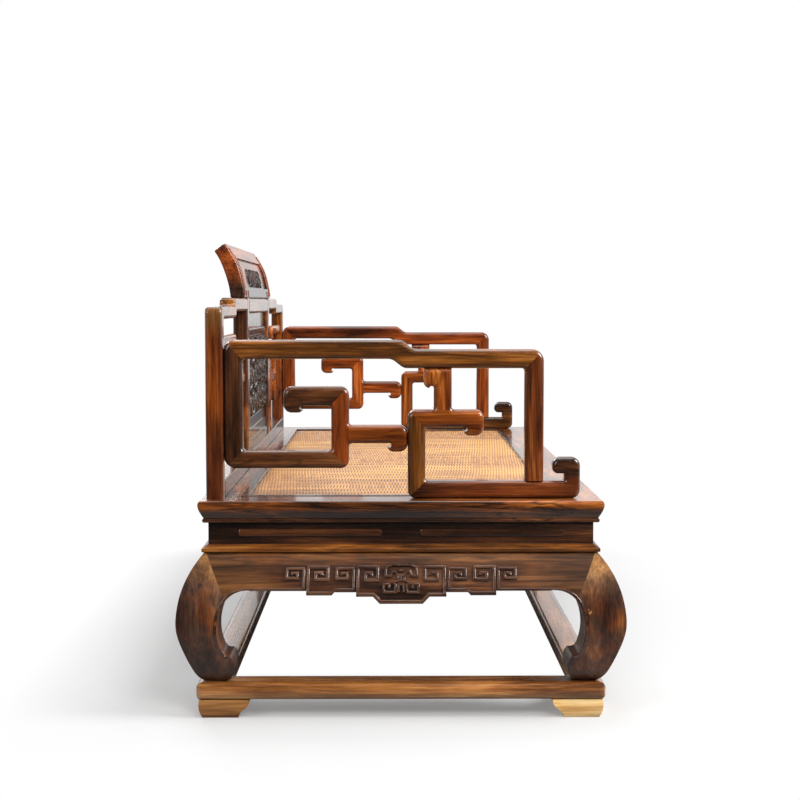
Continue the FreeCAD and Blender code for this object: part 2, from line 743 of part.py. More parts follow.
def make_back_fret(side):
    """Fretwork between an end post and a middle post: an upper bar, a low scroll and an inner scroll."""
    bar, corner, inner = S.back_fret_bar, S.back_fret_corner, S.inner_corner
    post, far, floor = S.back_post, S.mid_post_place, S.back_bottom_rail
    near, beyond = post - S.back_fret_round, far + S.back_fret_round
    upper, low, hook_top = S.upper_bar_top, S.low_bar_top, S.inner_hook_top
    riser_end, riser_top = post + S.low_bar_long, S.back_riser_top
    riser = riser_end - bar
    link_top = (low + riser_top) / 2
    inner_riser, inner_top = S.inner_riser_place, S.inner_riser_top
    shapes = {
        "upper": [(near, upper - bar)] + end_of_back_bar(post + S.upper_bar_long, upper, 1)
        + [(near, upper)],
        "low": [(near, low - bar), (near, low), (riser, low, inner), (riser, riser_top - bar, inner)]
        + end_of_back_bar(riser_end - S.back_hook_long, riser_top, -1)
        + [(riser_end, riser_top, corner), (riser_end, link_top, inner), (inner_riser, link_top),
           (inner_riser, link_top - bar), (riser_end, link_top - bar, inner),
           (riser_end, low - bar, corner)],
        "inner": [(inner_riser, floor - bar), (inner_riser, inner_top, corner), (beyond, inner_top),
                  (beyond, inner_top - bar), (inner_riser + bar, inner_top - bar, inner),
                  (inner_riser + bar, floor - bar)],
        "hook": end_of_back_bar(far - S.inner_hook_long, hook_top, -1)
        + [(beyond, hook_top), (beyond, hook_top - bar)],
    }
    window = [(post, floor), (far, floor), (far, S.back_end_high), (post, S.back_end_high)]
    zone = back_slab(f"back_fret_{side}_zone", in_back(side, window))
    bars = []
    for shape, corners in shapes.items():
        name = f"back_fret_{side}_{shape}"
        blank = back_slab(name + "_blank", in_back(side, corners), "back_fret_thick", "back_fret_round")
        bars.append(combine("Common", name, blank, zone))
    return group(f"back_fret_{side}", bars)


def lengthwise(name, section, half):
    """A rail of the back along X, with a section in the end view; half is its half length."""
    return slab(name, "end", section, f"-({half})", f"2 * ({half})")


def flat_bar(low, high, thick, radius):
    """The section of a rail in the middle of the back's thickness, between two heights over the seat."""
    near = back_front + (S.back_thick - thick) / 2
    far = near + thick
    return rounded([(near, S.seat_height + low, radius), (far, S.seat_height + low, radius),
                    (far, S.seat_height + high, radius), (near, S.seat_height + high, radius)])


def make_back_middle():
    """The middle posts, their rails, and the plate, carved panel and stepped plinth between them."""
    rail_low = S.back_step_high - S.back_mid_rail
    cross_top = rail_low - S.plate_high
    panel_top = cross_top - S.cross_rail_high
    plinth_top = S.back_bottom_rail + S.plinth_high
    half = "seat_length / 2 - back_end_inset - mid_post_place - mid_post_wide"
    bottom = flat_bar(0, S.back_bottom_rail, S.back_thick, S.seat_arris)
    keep("back_bottom_rail", lengthwise("back_bottom_rail", bottom,
                                        "seat_length / 2 - back_end_inset - back_post"))
    middle = flat_bar(rail_low, S.back_step_high, S.back_thick, S.back_round)
    keep("back_middle_rail", lengthwise("back_middle_rail", middle, half))
    for side in ("right", "left"):
        outer = outward(side, -S.back_end_inset - S.mid_post_place)
        inner = outward(side, -S.back_end_inset - S.mid_post_place - S.mid_post_wide)
        rear_face = back_front + S.back_thick
        plan = rounded([(outer, back_front, S.back_round), (inner, back_front, S.back_round),
                        (inner, rear_face, S.back_round), (outer, rear_face, S.back_round)])
        post = slab(f"back_middle_post_{side}", "plan", plan, "seat_height + back_bottom_rail",
                    "back_step_high - back_bottom_rail")
        keep(f"back_middle_post_{side}", post)
    plate = lengthwise("back_plate", flat_bar(cross_top, rail_low, S.panel_thick, 0), half)
    cross_bar = flat_bar(panel_top, cross_top, S.back_fret_thick, S.seat_arris)
    cross = lengthwise("back_cross_rail", cross_bar, half)
    panel = lengthwise("back_carved_panel", flat_bar(plinth_top, panel_top, S.panel_thick, 0), half)
    steps = int(S.plinth_steps)
    rise = S.plinth_high / steps
    front, back = [], []
    for step in range(steps):
        near = back_front + (step + 1) * S.plinth_step_back
        far = back_front + S.back_thick - (step + 1) * S.plinth_step_back
        low = S.seat_height + S.back_bottom_rail + step * rise
        front += [(near, low), (near, low + rise)]
        back += [(far, low), (far, low + rise)]
    plinth = lengthwise("back_plinth", rounded(front + back[::-1]), half)
    keep("back_middle_panels", group("back_middle_panels", [plate, cross, panel, plinth]))


def make_headrest():
    """The headrest that leans back, with a recess in its hollow front for a carved panel."""
    foot = S.seat_height + S.back_step_high
    front, rear = [[(back_front + lean * S.headrest_lean, foot + high * S.headrest_high)
                    for lean, high in shares] for shares in (HEADREST_FRONT_SHARES, HEADREST_REAR_SHARES)]
    outline = [curve(front), curve(rear)] + straight([front[-1], rear[0]]) + straight([rear[-1], front[0]])
    block_of_wood = slab("headrest_block", "end", outline, "-headrest_long / 2", "headrest_long",
                         "headrest_round", all_edges=True)
    low, high = [foot + share * S.headrest_high for share in HEADREST_PANEL_SHARES]
    floor = [(a + S.headrest_recess, b) for a, b in front]
    outside, behind = back_front - S.headrest_lean, back_front + S.headrest_lean
    before = straight([floor[-1], (outside, floor[-1][1]), (outside, floor[0][1]), floor[0]])
    cutter = slab("headrest_recess_depth", "end", [curve(floor)] + before,
                  "-headrest_long / 2 + headrest_stile", "headrest_long - 2 * headrest_stile")
    window = rounded([(outside, low), (outside, high), (behind, high), (behind, low)])
    opening = slab("headrest_recess_window", "end", window, "-headrest_long / 2", "headrest_long")
    recess = combine("Common", "headrest_recess", cutter, opening)
    keep("headrest", combine("Cut", "headrest", block_of_wood, recess))


def make_back():
    """The whole back."""
    crests = {side: make_back_crest(side) for side in ("right", "left")}
    for side, members in crests.items():
        keep(f"back_end_post_{side}", members["end_post"])
        keep(f"back_fret_{side}", make_back_fret(side))
    for member in ("end_rail", "step_rail"):
        keep(f"back_{member}s", group(f"back_{member}s", [crests[side][member] for side in crests]))
    make_back_middle()
    make_headrest()


def at(side, distance):
    """A formula for the coordinate a distance outwards of the seat's edge on a side."""
    half = "seat_depth / 2" if is_long(side) else "seat_length / 2"
    sign = "" if side in ("back", "left") else "-"
    return f"{sign}({half} + {distance})"


def tenon(piece, spot, carriers, middle, along_y=False):
    """A square tenon at a spot of a piece, which fills its mortise in the carriers.

    The middle is that of the tenon's lowest face, or of its front face if it runs along Y.
    """
    half = "tenon_wide / 2"
    if along_y:
        corner = (f"{middle[0]} - {half}", middle[1], f"{middle[2]} - {half}")
        lengths = ("tenon_wide", "tenon_deep", "tenon_wide")
    else:
        corner = (f"{middle[0]} - {half}", f"{middle[1]} - {half}", middle[2])
        lengths = ("tenon_wide", "tenon_wide", "tenon_deep")
    peg = block(f"{piece}_{spot}_tenon", corner, lengths)
    for carrier in carriers:
        keep(carrier, combine("Cut", f"{carrier}_under_{piece}_{spot}", pieces[carrier], peg))
    keep(piece, combine("Fuse", f"{piece}_with_{spot}", pieces[piece], peg))


def make_joints():
    """Tenons of the legs, the back's posts and the arms in what carries them."""
    base_height = "foot_high + base_rail_high - tenon_deep"
    seat_under = "seat_height - seat_rail_high"
    into_seat = "seat_height - tenon_deep"
    foot = f"(leg_bulge * {1 + LEG_OUTER_SHARES[-1][0]} - leg_wide * {LEG_TOE_SHARES[0][0]}) / 2"
    core = "(-(waist_back + waist_thick + leg_core / 2))"
    back_line = "(-(back_rear_inset + back_thick / 2))"
    arm_line = "(-(arm_inset + arm_thick / 2))"
    arm_rear = "(seat_depth / 2 - back_rear_inset - back_thick)"
    for end in ("right", "left"):
        for face in ("front", "back"):
            leg = f"leg_{face}_{end}"
            tenon(leg, "foot", [f"base_rail_{face}", f"base_rail_{end}"],
                  (at(end, foot), at(face, foot), base_height))
            tenon(leg, "core", [f"seat_rail_{face}", f"seat_rail_{end}"],
                  (at(end, core), at(face, core), seat_under))
        post_line = at(end, "(-(back_end_inset + back_post / 2))")
        tenon(f"back_end_post_{end}", "foot", ["seat_rail_back", f"seat_rail_{end}"],
              (post_line, at("back", back_line), into_seat))
        for spot, distance in (("rear", "front_scroll_place + fret_bar + tenon_wide"),
                               ("front", "arm_long - arm_bar / 2")):
            tenon(f"arm_{end}_bottom_rail", spot, [f"seat_rail_{end}", "seat_rail_front"],
                  (at(end, arm_line), f"{arm_rear} - ({distance})", into_seat))
        tenon(f"arm_{end}_rear_stile", "rear", [f"back_end_post_{end}"],
              (at(end, arm_line), arm_rear, "seat_height + (arm_high + low_rail_lift) / 2"), along_y=True)
        middle_post = at(end, "(-(back_end_inset + mid_post_place + mid_post_wide / 2))")
        tenon(f"back_middle_post_{end}", "head", ["headrest"],
              (middle_post, at("back", back_line), "seat_height + back_step_high"))


def check_and_write():
    """Refuses a model with a failed object or an unsound piece, and writes the pieces."""
    doc.recompute()
    for item in doc.Objects:
        if "Invalid" in item.State or "Error" in item.State:
            raise RuntimeError(f"{item.Label}: {item.State}")
    for name, item in pieces.items():
        if item.Shape.isNull() or not item.Shape.isValid() or not item.Shape.Solids:
            raise RuntimeError(f"{name} isn't a sound solid")
    os.makedirs("parts", exist_ok=True)
    for name, item in pieces.items():
        item.Shape.exportStep(f"parts/{name}.step")


make_legs()
make_aprons()
make_base()
make_waist()
make_seat()
for arm_side in ("right", "left"):
    make_arm(arm_side)
make_back()
make_joints()
check_and_write()
print(len(pieces), "pieces")
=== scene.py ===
"""The looks of a luohan daybed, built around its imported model.

Metres, in the model's own frame: X runs along the bed, the front faces -Y and Z is up.
"""

import math

import bpy
import numpy as np
from mathutils import Matrix, Vector
from mathutils.bvhtree import BVHTree


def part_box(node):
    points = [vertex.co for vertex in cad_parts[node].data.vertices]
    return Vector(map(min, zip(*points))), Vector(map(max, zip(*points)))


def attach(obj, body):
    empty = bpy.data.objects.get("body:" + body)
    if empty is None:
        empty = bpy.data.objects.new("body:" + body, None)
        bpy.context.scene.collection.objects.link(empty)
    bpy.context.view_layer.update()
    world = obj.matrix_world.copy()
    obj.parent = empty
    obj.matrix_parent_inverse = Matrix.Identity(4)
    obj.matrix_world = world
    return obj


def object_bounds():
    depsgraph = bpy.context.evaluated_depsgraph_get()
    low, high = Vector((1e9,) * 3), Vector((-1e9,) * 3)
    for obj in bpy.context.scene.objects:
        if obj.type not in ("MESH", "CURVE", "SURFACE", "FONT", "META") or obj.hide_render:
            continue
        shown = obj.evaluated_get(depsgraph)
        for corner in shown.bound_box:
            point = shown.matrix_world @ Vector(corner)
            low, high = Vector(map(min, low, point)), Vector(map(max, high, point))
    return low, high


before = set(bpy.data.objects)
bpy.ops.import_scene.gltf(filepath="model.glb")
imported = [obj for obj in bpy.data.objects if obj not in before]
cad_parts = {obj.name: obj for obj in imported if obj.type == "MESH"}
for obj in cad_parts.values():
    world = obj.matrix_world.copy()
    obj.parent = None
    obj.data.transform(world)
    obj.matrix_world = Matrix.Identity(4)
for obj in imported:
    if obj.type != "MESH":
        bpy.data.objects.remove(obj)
cad_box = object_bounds()

MM = 0.001
UP = Vector((0, 0, 1))

# Sides of the bed: the way out of each, and the way along it
OUT = {"right": Vector((-1, 0, 0)), "left": Vector((1, 0, 0)),
       "front": Vector((0, -1, 0)), "back": Vector((0, 1, 0))}
ENDS = ("right", "left")
ALONG = {side: Vector((0, 1, 0)) if side in ENDS else Vector((1, 0, 0)) for side in OUT}

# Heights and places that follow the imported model
SEAT_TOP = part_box("seat_rail_front")[1].z
APRON_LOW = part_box("apron_right")[0].z
WAIST_LOW, WAIST_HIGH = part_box("waist_right")[0].z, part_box("waist_right")[1].z
BASE_LOW, BASE_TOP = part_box("base_rail_right")[0].z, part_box("base_rail_right")[1].z
BASE_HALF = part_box("base_rail_front")[1].x, -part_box("base_rail_front")[0].y
HALF = {"right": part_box("seat_rail_front")[1].x, "front": -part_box("seat_rail_front")[0].y}
HALF.update(left=HALF["right"], back=HALF["front"])


def grain_of(side):
    """The axis that the boards of a side run along."""
    return "y" if side in ENDS else "x"


def reach_of(side):
    """Half of the seat's size along a side."""
    return HALF["front" if side in ENDS else "right"]


def screen(red, green, blue):
    """A colour given as it looks on a screen, 0 to 255, as the shader's own values."""
    shares = [value / 255 for value in (red, green, blue)]
    return tuple(((share + 0.055) / 1.055) ** 2.4 for share in shares) + (1.0,)


# Tones of the woods, from the dark veins to the light fibres
TONES = {
    "chestnut": ((34, 15, 8), (76, 35, 14), (106, 51, 20), (148, 84, 38)),
    "umber": ((28, 16, 10), (56, 31, 17), (84, 47, 24), (118, 72, 38)),
    "russet": ((46, 18, 8), (98, 42, 13), (136, 62, 19), (180, 98, 40)),
    "golden": ((42, 24, 10), (86, 48, 17), (122, 70, 25), (166, 106, 48)),
    "walnut": ((36, 22, 11), (68, 40, 19), (98, 60, 29), (134, 88, 45)),
    "amber": ((64, 26, 8), (116, 55, 16), (152, 80, 27), (198, 124, 56)),
    "gold": ((78, 47, 21), (116, 75, 37), (146, 100, 53), (184, 138, 82)),
    "plum": ((32, 19, 14), (58, 36, 26), (80, 52, 37), (108, 76, 56)),
    "black": ((12, 7, 5), (32, 19, 13), (52, 31, 21), (78, 50, 35)),
    "figured": ((20, 11, 7), (88, 46, 17), (140, 74, 27), (186, 112, 46)),
    "base": ((72, 40, 17), (120, 71, 32), (158, 100, 48), (198, 138, 80)),
    "tan": ((118, 74, 38), (158, 108, 58), (190, 136, 78), (216, 168, 110)),
    "raw": ((206, 156, 92), (244, 200, 134), (254, 222, 160), (255, 236, 188)),
    "planed": ((70, 44, 26), (110, 74, 44), (140, 98, 60), (168, 124, 82)),
}
TONE_PLACES = (0.38, 0.47, 0.545, 0.65)
# The tone of the dark joints, and the tone of the shade and grime painted into hollows
JOINT_TONE, SHADE_AND_GRIME_TONE = (16, 9, 6), (12, 8, 6)
# The range in which most values of a noise lie
NOISE_RANGE = (0.3, 0.7)


# Parts of materials

def node(tree, kind, inputs=None, **settings):
    """Adds a shader node; an input is a value or another node's output."""
    item = tree.nodes.new("ShaderNode" + kind)
    for key, value in settings.items():
        setattr(item, key, value)
    for key, value in (inputs or {}).items():
        if isinstance(value, bpy.types.NodeSocket):
            tree.links.new(value, item.inputs[key])
        else:
            item.inputs[key].default_value = value
    return item


def maths(tree, operation, first, second=0.0):
    """The result of a sum, product or other operation on two values."""
    return node(tree, "Math", {0: first, 1: second}, operation=operation).outputs[0]


def parts_of(tree, spot):
    """The three coordinates of a place, by their letters."""
    return node(tree, "SeparateXYZ", {"Vector": spot}).outputs


def noise(tree, place, scale, detail=2.0, roughness=0.5, distortion=0.0):
    """A noise between 0 and 1 over a place."""
    inputs = {"Vector": place, "Scale": scale, "Detail": detail, "Roughness": roughness,
              "Distortion": distortion}
    return node(tree, "TexNoise", inputs).outputs["Fac"]


def spread(tree, value, low, high, to_low=0.0, to_high=1.0):
    """A value between two limits, mapped to two others and held there."""
    inputs = {"Value": value, "From Min": low, "From Max": high, "To Min": to_low, "To Max": to_high}
    return node(tree, "MapRange", inputs).outputs["Result"]


def blended(tree, factor, first, second):
    """Two values mixed by a factor."""
    return node(tree, "Mix", {0: factor, 2: first, 3: second}, data_type="FLOAT").outputs[0]


def ramp(tree, value, stops):
    """A colour from a value through (place, colour) stops."""
    item = node(tree, "ValToRGB", {"Fac": value})
    band = item.color_ramp.elements
    for _ in stops[2:]:
        band.new(0.5)
    for element, (place, color) in zip(band, stops):
        element.position = place
        element.color = color
    return item.outputs["Color"]


def mixed(tree, factor, first, second, blend="MIX"):
    """Two colours mixed by a factor."""
    inputs = {0: factor, 6: first, 7: second}
    return node(tree, "Mix", inputs, data_type="RGBA", blend_type=blend).outputs[2]


def new_material(name):
    """A material with its tree and its main shader."""
    material = bpy.data.materials.new(name)
    material.use_nodes = True
    tree = material.node_tree
    return material, tree, tree.nodes["Principled BSDF"]


# Masks: what gives a factor from 0 to 1 over a place

def rising(axis, low, high, wander=0.0):
    """Grows from 0 to 1 between two places on an axis, with an edge that wanders."""
    def mask(tree, spot):
        place = parts_of(tree, spot)[axis]
        if wander:
            drift = noise(tree, spot, scale=11.0, detail=3.0)
            place = maths(tree, "ADD", place, spread(tree, drift, *NOISE_RANGE, -wander, wander))
        return spread(tree, place, low, high)
    return mask


def beyond_mitre(y, z, way, soft=0.5 * MM):
    """1 on the far side of a line at 45 degrees that falls from a corner (y, z), 0 on the near side."""
    def mask(tree, spot):
        parts = parts_of(tree, spot)
        aside = maths(tree, "MULTIPLY", maths(tree, "SUBTRACT", parts["Y"], y), way)
        across = maths(tree, "SUBTRACT", aside, maths(tree, "SUBTRACT", z, parts["Z"]))
        return spread(tree, across, -soft, soft)
    return mask


def patchy(scale, low, high, strength):
    """Loose patches, where a noise lies above a range."""
    def mask(tree, spot):
        patches = noise(tree, spot, scale, detail=3.0, roughness=0.6)
        return spread(tree, patches, low, high, 0.0, strength)
    return mask


def carved_ground_shade(axis, reach, top, side_fade=50 * MM, top_fade=14 * MM):
    """1 on the carved middle of an apron, under a height and within a reach of its middle: the field that a
    darker tone paints with the shade of a sunk ground.
    """
    def mask(tree, spot):
        parts = parts_of(tree, spot)
        away = maths(tree, "ABSOLUTE", parts[axis])
        inside = spread(tree, away, reach, reach + side_fade, 1.0, 0.0)
        return maths(tree, "MULTIPLY", inside, spread(tree, parts["Z"], top, top + top_fade, 1.0, 0.0))
    return mask


def round_spot(y, z, radius):
    """1 near a place of the end view, with a ragged edge."""
    def mask(tree, spot):
        parts = parts_of(tree, spot)
        squares = [maths(tree, "POWER", maths(tree, "SUBTRACT", parts[axis], place), 2.0)
                   for axis, place in (("Y", y), ("Z", z))]
        ragged = spread(tree, noise(tree, spot, scale=160.0), *NOISE_RANGE, -radius, radius)
        reach = maths(tree, "ADD", maths(tree, "SQRT", maths(tree, "ADD", *squares)), ragged)
        return spread(tree, reach, radius * 0.6, radius, 1.0, 0.0)
    return mask


# The inner contour of a leg and an apron: distance outwards from the seat's edge, and height
CONTOUR = [(out * MM, height * MM) for out, height in (
    (-130, 311), (-88.8, 306), (-66, 288), (-50.8, 253.9), (-47, 212), (-53, 178.1), (-63.2, 158.7),
    (-73, 155))]
# The unit in which a ramp's colours hold its distances, since they lie between 0 and 1
CONTOUR_UNIT = 100 * MM
# How the strip beside it fades: above its foot, and from one height to another below its upper end
CONTOUR_FOOT_FADE, CONTOUR_END = 4 * MM, (14 * MM, 4 * MM)


def beside_contour(axis, half, start, end, soft=0.5 * MM):
    """1 on a leg's faces in a strip beside its inner contour, from one distance to another."""
    def mask(tree, spot):
        parts = parts_of(tree, spot)
        line = [(-out / CONTOUR_UNIT, height) for out, height in CONTOUR[:0:-1]]
        low, high = line[0][1], line[-1][1]
        stops = [((height - low) / (high - low), (out, out, out, 1)) for out, height in line]
        shares = ramp(tree, spread(tree, parts["Z"], low, high), stops)
        inset = maths(tree, "MULTIPLY", shares, CONTOUR_UNIT)
        away = maths(tree, "SUBTRACT", maths(tree, "ABSOLUTE", parts[axis]), half)
        away = maths(tree, "ADD", away, inset)
        strip = maths(tree, "MULTIPLY", spread(tree, away, start - soft, start + soft),
                      spread(tree, away, end - soft, end + soft, 1.0, 0.0))
        fade_start, fade_end = [high - below for below in CONTOUR_END]
        reach = maths(tree, "MULTIPLY", spread(tree, parts["Z"], low - CONTOUR_FOOT_FADE, low),
                      spread(tree, parts["Z"], fade_start, fade_end, 1.0, 0.0))
        return maths(tree, "MULTIPLY", strip, reach)
    return mask


# Wood: how much its grain is squeezed across itself, for the broad figure and for the fibres
BROAD_SQUEEZE, FINE_SQUEEZE = 9.0, 30.0
# What a seed gains for the fibres and for each further board, and how it moves the grain
FIBRE_SEED, BOARD_SEED = 5, 3.3
SEED_WAVES, SEED_REACH = (1.3, 2.1, 3.7), 9
FIBRE_SHARE, VEIN_WIDTH, VEIN_STRENGTH = 0.36, 0.03, 0.5
PORE_RANGE, PORE_STRENGTH, PORE_ROUGHNESS = (0.62, 0.70), 0.35, 0.12
PATCH_SHADES = [(0.34, (0.72, 0.70, 0.68, 1)), (0.66, (1.18, 1.18, 1.18, 1))]
PATCH_STRENGTH, JOINT_STRENGTH = 0.8, 0.75
# How far the ambient occlusion looks for the painted shade and grime in hollows, and the range over which
# it fades
SHADE_AND_GRIME_REACH, SHADE_AND_GRIME_RANGE = 0.012, (0.35, 0.9)
GRAIN_STRENGTH, GRAIN_HIGH = 0.16, 0.0004
SPECULAR_LEVEL, WAX_ROUGHNESS = 0.36, 0.07


def grain_place(tree, spot, axis, seed, squeeze):
    """Coordinates in which the grain runs along one axis, squeezed across it."""
    scale = [squeeze] * 3
    scale["xyz".index(axis)] = 1.0
    shift = [math.sin(seed * wave) * SEED_REACH for wave in SEED_WAVES]
    return node(tree, "Mapping", {"Vector": spot, "Location": shift, "Scale": scale}).outputs["Vector"]


def board(tree, spot, axis, tone, seed, figure):
    """The colour, fibres and pores of a board with figure, veins and fine fibres along its grain."""
    broad = grain_place(tree, spot, axis, seed, BROAD_SQUEEZE)
    fine = grain_place(tree, spot, axis, seed + FIBRE_SEED, FINE_SQUEEZE)
    streaks = noise(tree, broad, scale=1.9, detail=4.0, roughness=0.6, distortion=0.7 * figure)
    fibres = noise(tree, fine, scale=6.0, detail=4.0, roughness=0.7)
    pores = spread(tree, noise(tree, fine, scale=30.0, roughness=0.6), *PORE_RANGE)
    tones = [screen(*color) for color in TONES[tone]]
    color = ramp(tree, blended(tree, FIBRE_SHARE, streaks, fibres), list(zip(TONE_PLACES, tones)))
    vein_noise = noise(tree, broad, scale=1.0, detail=4.0, roughness=0.55, distortion=1.5 * figure)
    off_vein = maths(tree, "ABSOLUTE", maths(tree, "SUBTRACT", vein_noise, 0.5))
    veins = spread(tree, off_vein, 0.0, VEIN_WIDTH, VEIN_STRENGTH * figure, 0.0)
    color = mixed(tree, veins, color, tones[0])
    color = mixed(tree, maths(tree, "MULTIPLY", pores, PORE_STRENGTH), color, tones[0])
    return color, fibres, pores


def boards(tree, spot, layers, seed, figure):
    """The colour, fibres and pores of boards and tones that lie over each other."""
    color, fibres, pores = board(tree, spot, *layers[0], seed, figure)
    for number, (axis, tone, mask, *joint) in enumerate(layers[1:], start=1):
        over = mask(tree, spot)
        other_seed = seed + (BOARD_SEED * number if joint else 0)
        other = board(tree, spot, axis, tone, other_seed, figure)
        color = mixed(tree, over, color, other[0])
        if joint:
            fibres = blended(tree, over, fibres, other[1])
            pores = blended(tree, over, pores, other[2])
            edge = maths(tree, "ABSOLUTE", maths(tree, "SUBTRACT", over, 0.5))
            dark = spread(tree, edge, 0.1, 0.5, JOINT_STRENGTH, 0.0)
            color = mixed(tree, dark, color, screen(*JOINT_TONE))
    return color, fibres, pores


def wood(name, layers, seed, gloss=0.2, figure=1.0, shade_and_grime=0.35, coat=0.5):
    """Waxed hardwood in one or more boards or tones.

    A layer is (grain axis, tone) or (grain axis, tone, mask), and lies over those before it. A layer
    with a fourth value is a board of its own, with a dark joint at the mask's edge.
    """
    material, tree, shader = new_material(name)
    spot = node(tree, "TexCoord").outputs["Object"]
    color, fibres, pores = boards(tree, spot, layers, seed, figure)
    patches = noise(tree, spot, scale=4.6, detail=3.0, roughness=0.55)
    color = mixed(tree, PATCH_STRENGTH, color, ramp(tree, patches, PATCH_SHADES), "MULTIPLY")
    # Painted shade and grime: the colour darkens in hollows, creases and joints, where the ambient
    # occlusion finds them
    if shade_and_grime:
        hollow = node(tree, "AmbientOcclusion", {"Distance": SHADE_AND_GRIME_REACH}, samples=4).outputs["AO"]
        color = mixed(tree, spread(tree, hollow, *SHADE_AND_GRIME_RANGE, shade_and_grime, 0.0), color, screen(*SHADE_AND_GRIME_TONE))
    tree.links.new(color, shader.inputs["Base Color"])
    rough = maths(tree, "ADD", spread(tree, fibres, *NOISE_RANGE, gloss, gloss + 0.1),
                  maths(tree, "MULTIPLY", pores, PORE_ROUGHNESS))
    tree.links.new(rough, shader.inputs["Roughness"])
    height = maths(tree, "SUBTRACT", maths(tree, "MULTIPLY", fibres, 0.5), pores)
    bump = node(tree, "Bump", {"Height": height, "Strength": GRAIN_STRENGTH, "Distance": GRAIN_HIGH})
    tree.links.new(bump.outputs["Normal"], shader.inputs["Normal"])
    shader.inputs["Specular IOR Level"].default_value = SPECULAR_LEVEL
    shader.inputs["Coat Weight"].default_value = coat
    shader.inputs["Coat Roughness"].default_value = WAX_ROUGHNESS
    return material


# Cane: a strand's width, a row's length, and how far a row's edge wanders, in rows
STRAND_WIDE, ROW_LONG, ROW_WANDER = 8.0 * MM, 60 * MM, 0.5
STRAND_TONES = [(0.0, (168, 113, 62)), (0.5, (196, 140, 84)), (1.0, (212, 158, 98))]
# Cane tones: the strands, the painted reflection in golden bands, the painted shadow in grey bands, the
# painted shade beside the back edge, and the dark slits
PAINTED_SHEEN_CANE, PAINTED_SHADOW_CANE, EDGE_SHADE_CANE, SLIT_TONE = (222, 164, 92), (152, 106, 66), (84, 60, 46), (66, 34, 16)
# Where the painted shade beside the mat's back edge starts and is full, measured from that edge
CANE_EDGE_SHADE = (34 * MM, 14 * MM)
CANE_ROUGHNESS = 0.52


def triangle(tree, value):
    """A value's distance from the middle of its whole number, from 0 to 1."""
    return maths(tree, "ABSOLUTE", spread(tree, maths(tree, "FRACT", value), 0.0, 1.0, -1.0, 1.0))


def weave(tree, spot):
    """The slits between the strands from 0 to 1, and a value of its own for each strand."""
    parts = parts_of(tree, spot)
    drift = spread(tree, noise(tree, spot, scale=5.0), *NOISE_RANGE, -ROW_WANDER, ROW_WANDER)
    row = maths(tree, "ADD", maths(tree, "DIVIDE", parts["X"], ROW_LONG), drift)
    row_number = maths(tree, "FLOOR", row)
    shift = maths(tree, "MULTIPLY", maths(tree, "FLOORED_MODULO", row_number, 2.0), 0.5)
    count = maths(tree, "ADD", maths(tree, "DIVIDE", parts["Y"], STRAND_WIDE), shift)
    slit = maths(tree, "MULTIPLY", spread(tree, triangle(tree, count), 0.3, 0.9),
                 spread(tree, triangle(tree, row), 0.55, 0.95, 1.0, 0.25))
    strand = node(tree, "CombineXYZ", {"X": row_number, "Y": maths(tree, "FLOOR", count)}).outputs[0]
    return slit, node(tree, "TexWhiteNoise", {"Vector": strand}).outputs["Value"]


def cane(name):
    """Split cane: rows of strands along the bed, dark between them, with every second row shifted; with
    painted reflections and painted shadows in wavy bands, and painted shade beside its back edge.
    """
    material, tree, shader = new_material(name)
    spot = node(tree, "TexCoord").outputs["Object"]
    slit, tints = weave(tree, spot)
    color = ramp(tree, tints, [(place, screen(*tone)) for place, tone in STRAND_TONES])
    wide = node(tree, "Mapping", {"Vector": spot, "Scale": (7.0, 1.3, 1.0)}).outputs["Vector"]
    bands = noise(tree, wide, scale=1.0, detail=3.0, roughness=0.6, distortion=0.8)
    # Painted reflection: wavy golden bands across the mat, where light would glance off it
    color = mixed(tree, spread(tree, bands, 0.46, 0.58), color, screen(*PAINTED_SHEEN_CANE))
    # Painted shadow: greyish bands across the mat
    painted_shadow = spread(tree, noise(tree, wide, scale=1.9, distortion=0.5), 0.50, 0.64, 0.0, 0.6)
    color = mixed(tree, painted_shadow, color, screen(*PAINTED_SHADOW_CANE))
    # Painted shade: the mat darkens beside its back edge
    edge_start, edge_full = [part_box("cane_mat")[1].y - inset for inset in CANE_EDGE_SHADE]
    edge_shade = spread(tree, parts_of(tree, spot)["Y"], edge_start, edge_full, 0.0, 0.7)
    color = mixed(tree, edge_shade, color, screen(*EDGE_SHADE_CANE))
    color = mixed(tree, maths(tree, "MULTIPLY", slit, 0.95), color, screen(*SLIT_TONE))
    tree.links.new(color, shader.inputs["Base Color"])
    shader.inputs["Roughness"].default_value = CANE_ROUGHNESS
    strands = node(tree, "Bump", {"Height": maths(tree, "SUBTRACT", 1.0, slit), "Strength": 0.5,
                                  "Distance": 0.0008})
    sag = node(tree, "Bump", {"Height": bands, "Strength": 0.6, "Distance": 0.012,
                              "Normal": strands.outputs["Normal"]})
    tree.links.new(sag.outputs["Normal"], shader.inputs["Normal"])
    return material


# How far from the bed the floor turns white, and the strip under the bed's ends that keeps its shadow
FADE_NEAR, FADE_FAR = 0.16, 0.50
SHADE_IN_FAR, SHADE_IN_NEAR = 0.42, 0.20
SHADE_SIDE = 0.02
# The floor's shade and its glow for the camera
FLOOR_SHADE, FLOOR_GLOW = 0.42, 0.22
# Where the floor before the bed's right end grows dark for all rays but the camera's, and how dark
DARK_FLOOR, DARK_FLOOR_SHADE = (-1.7, -0.9), 0.04


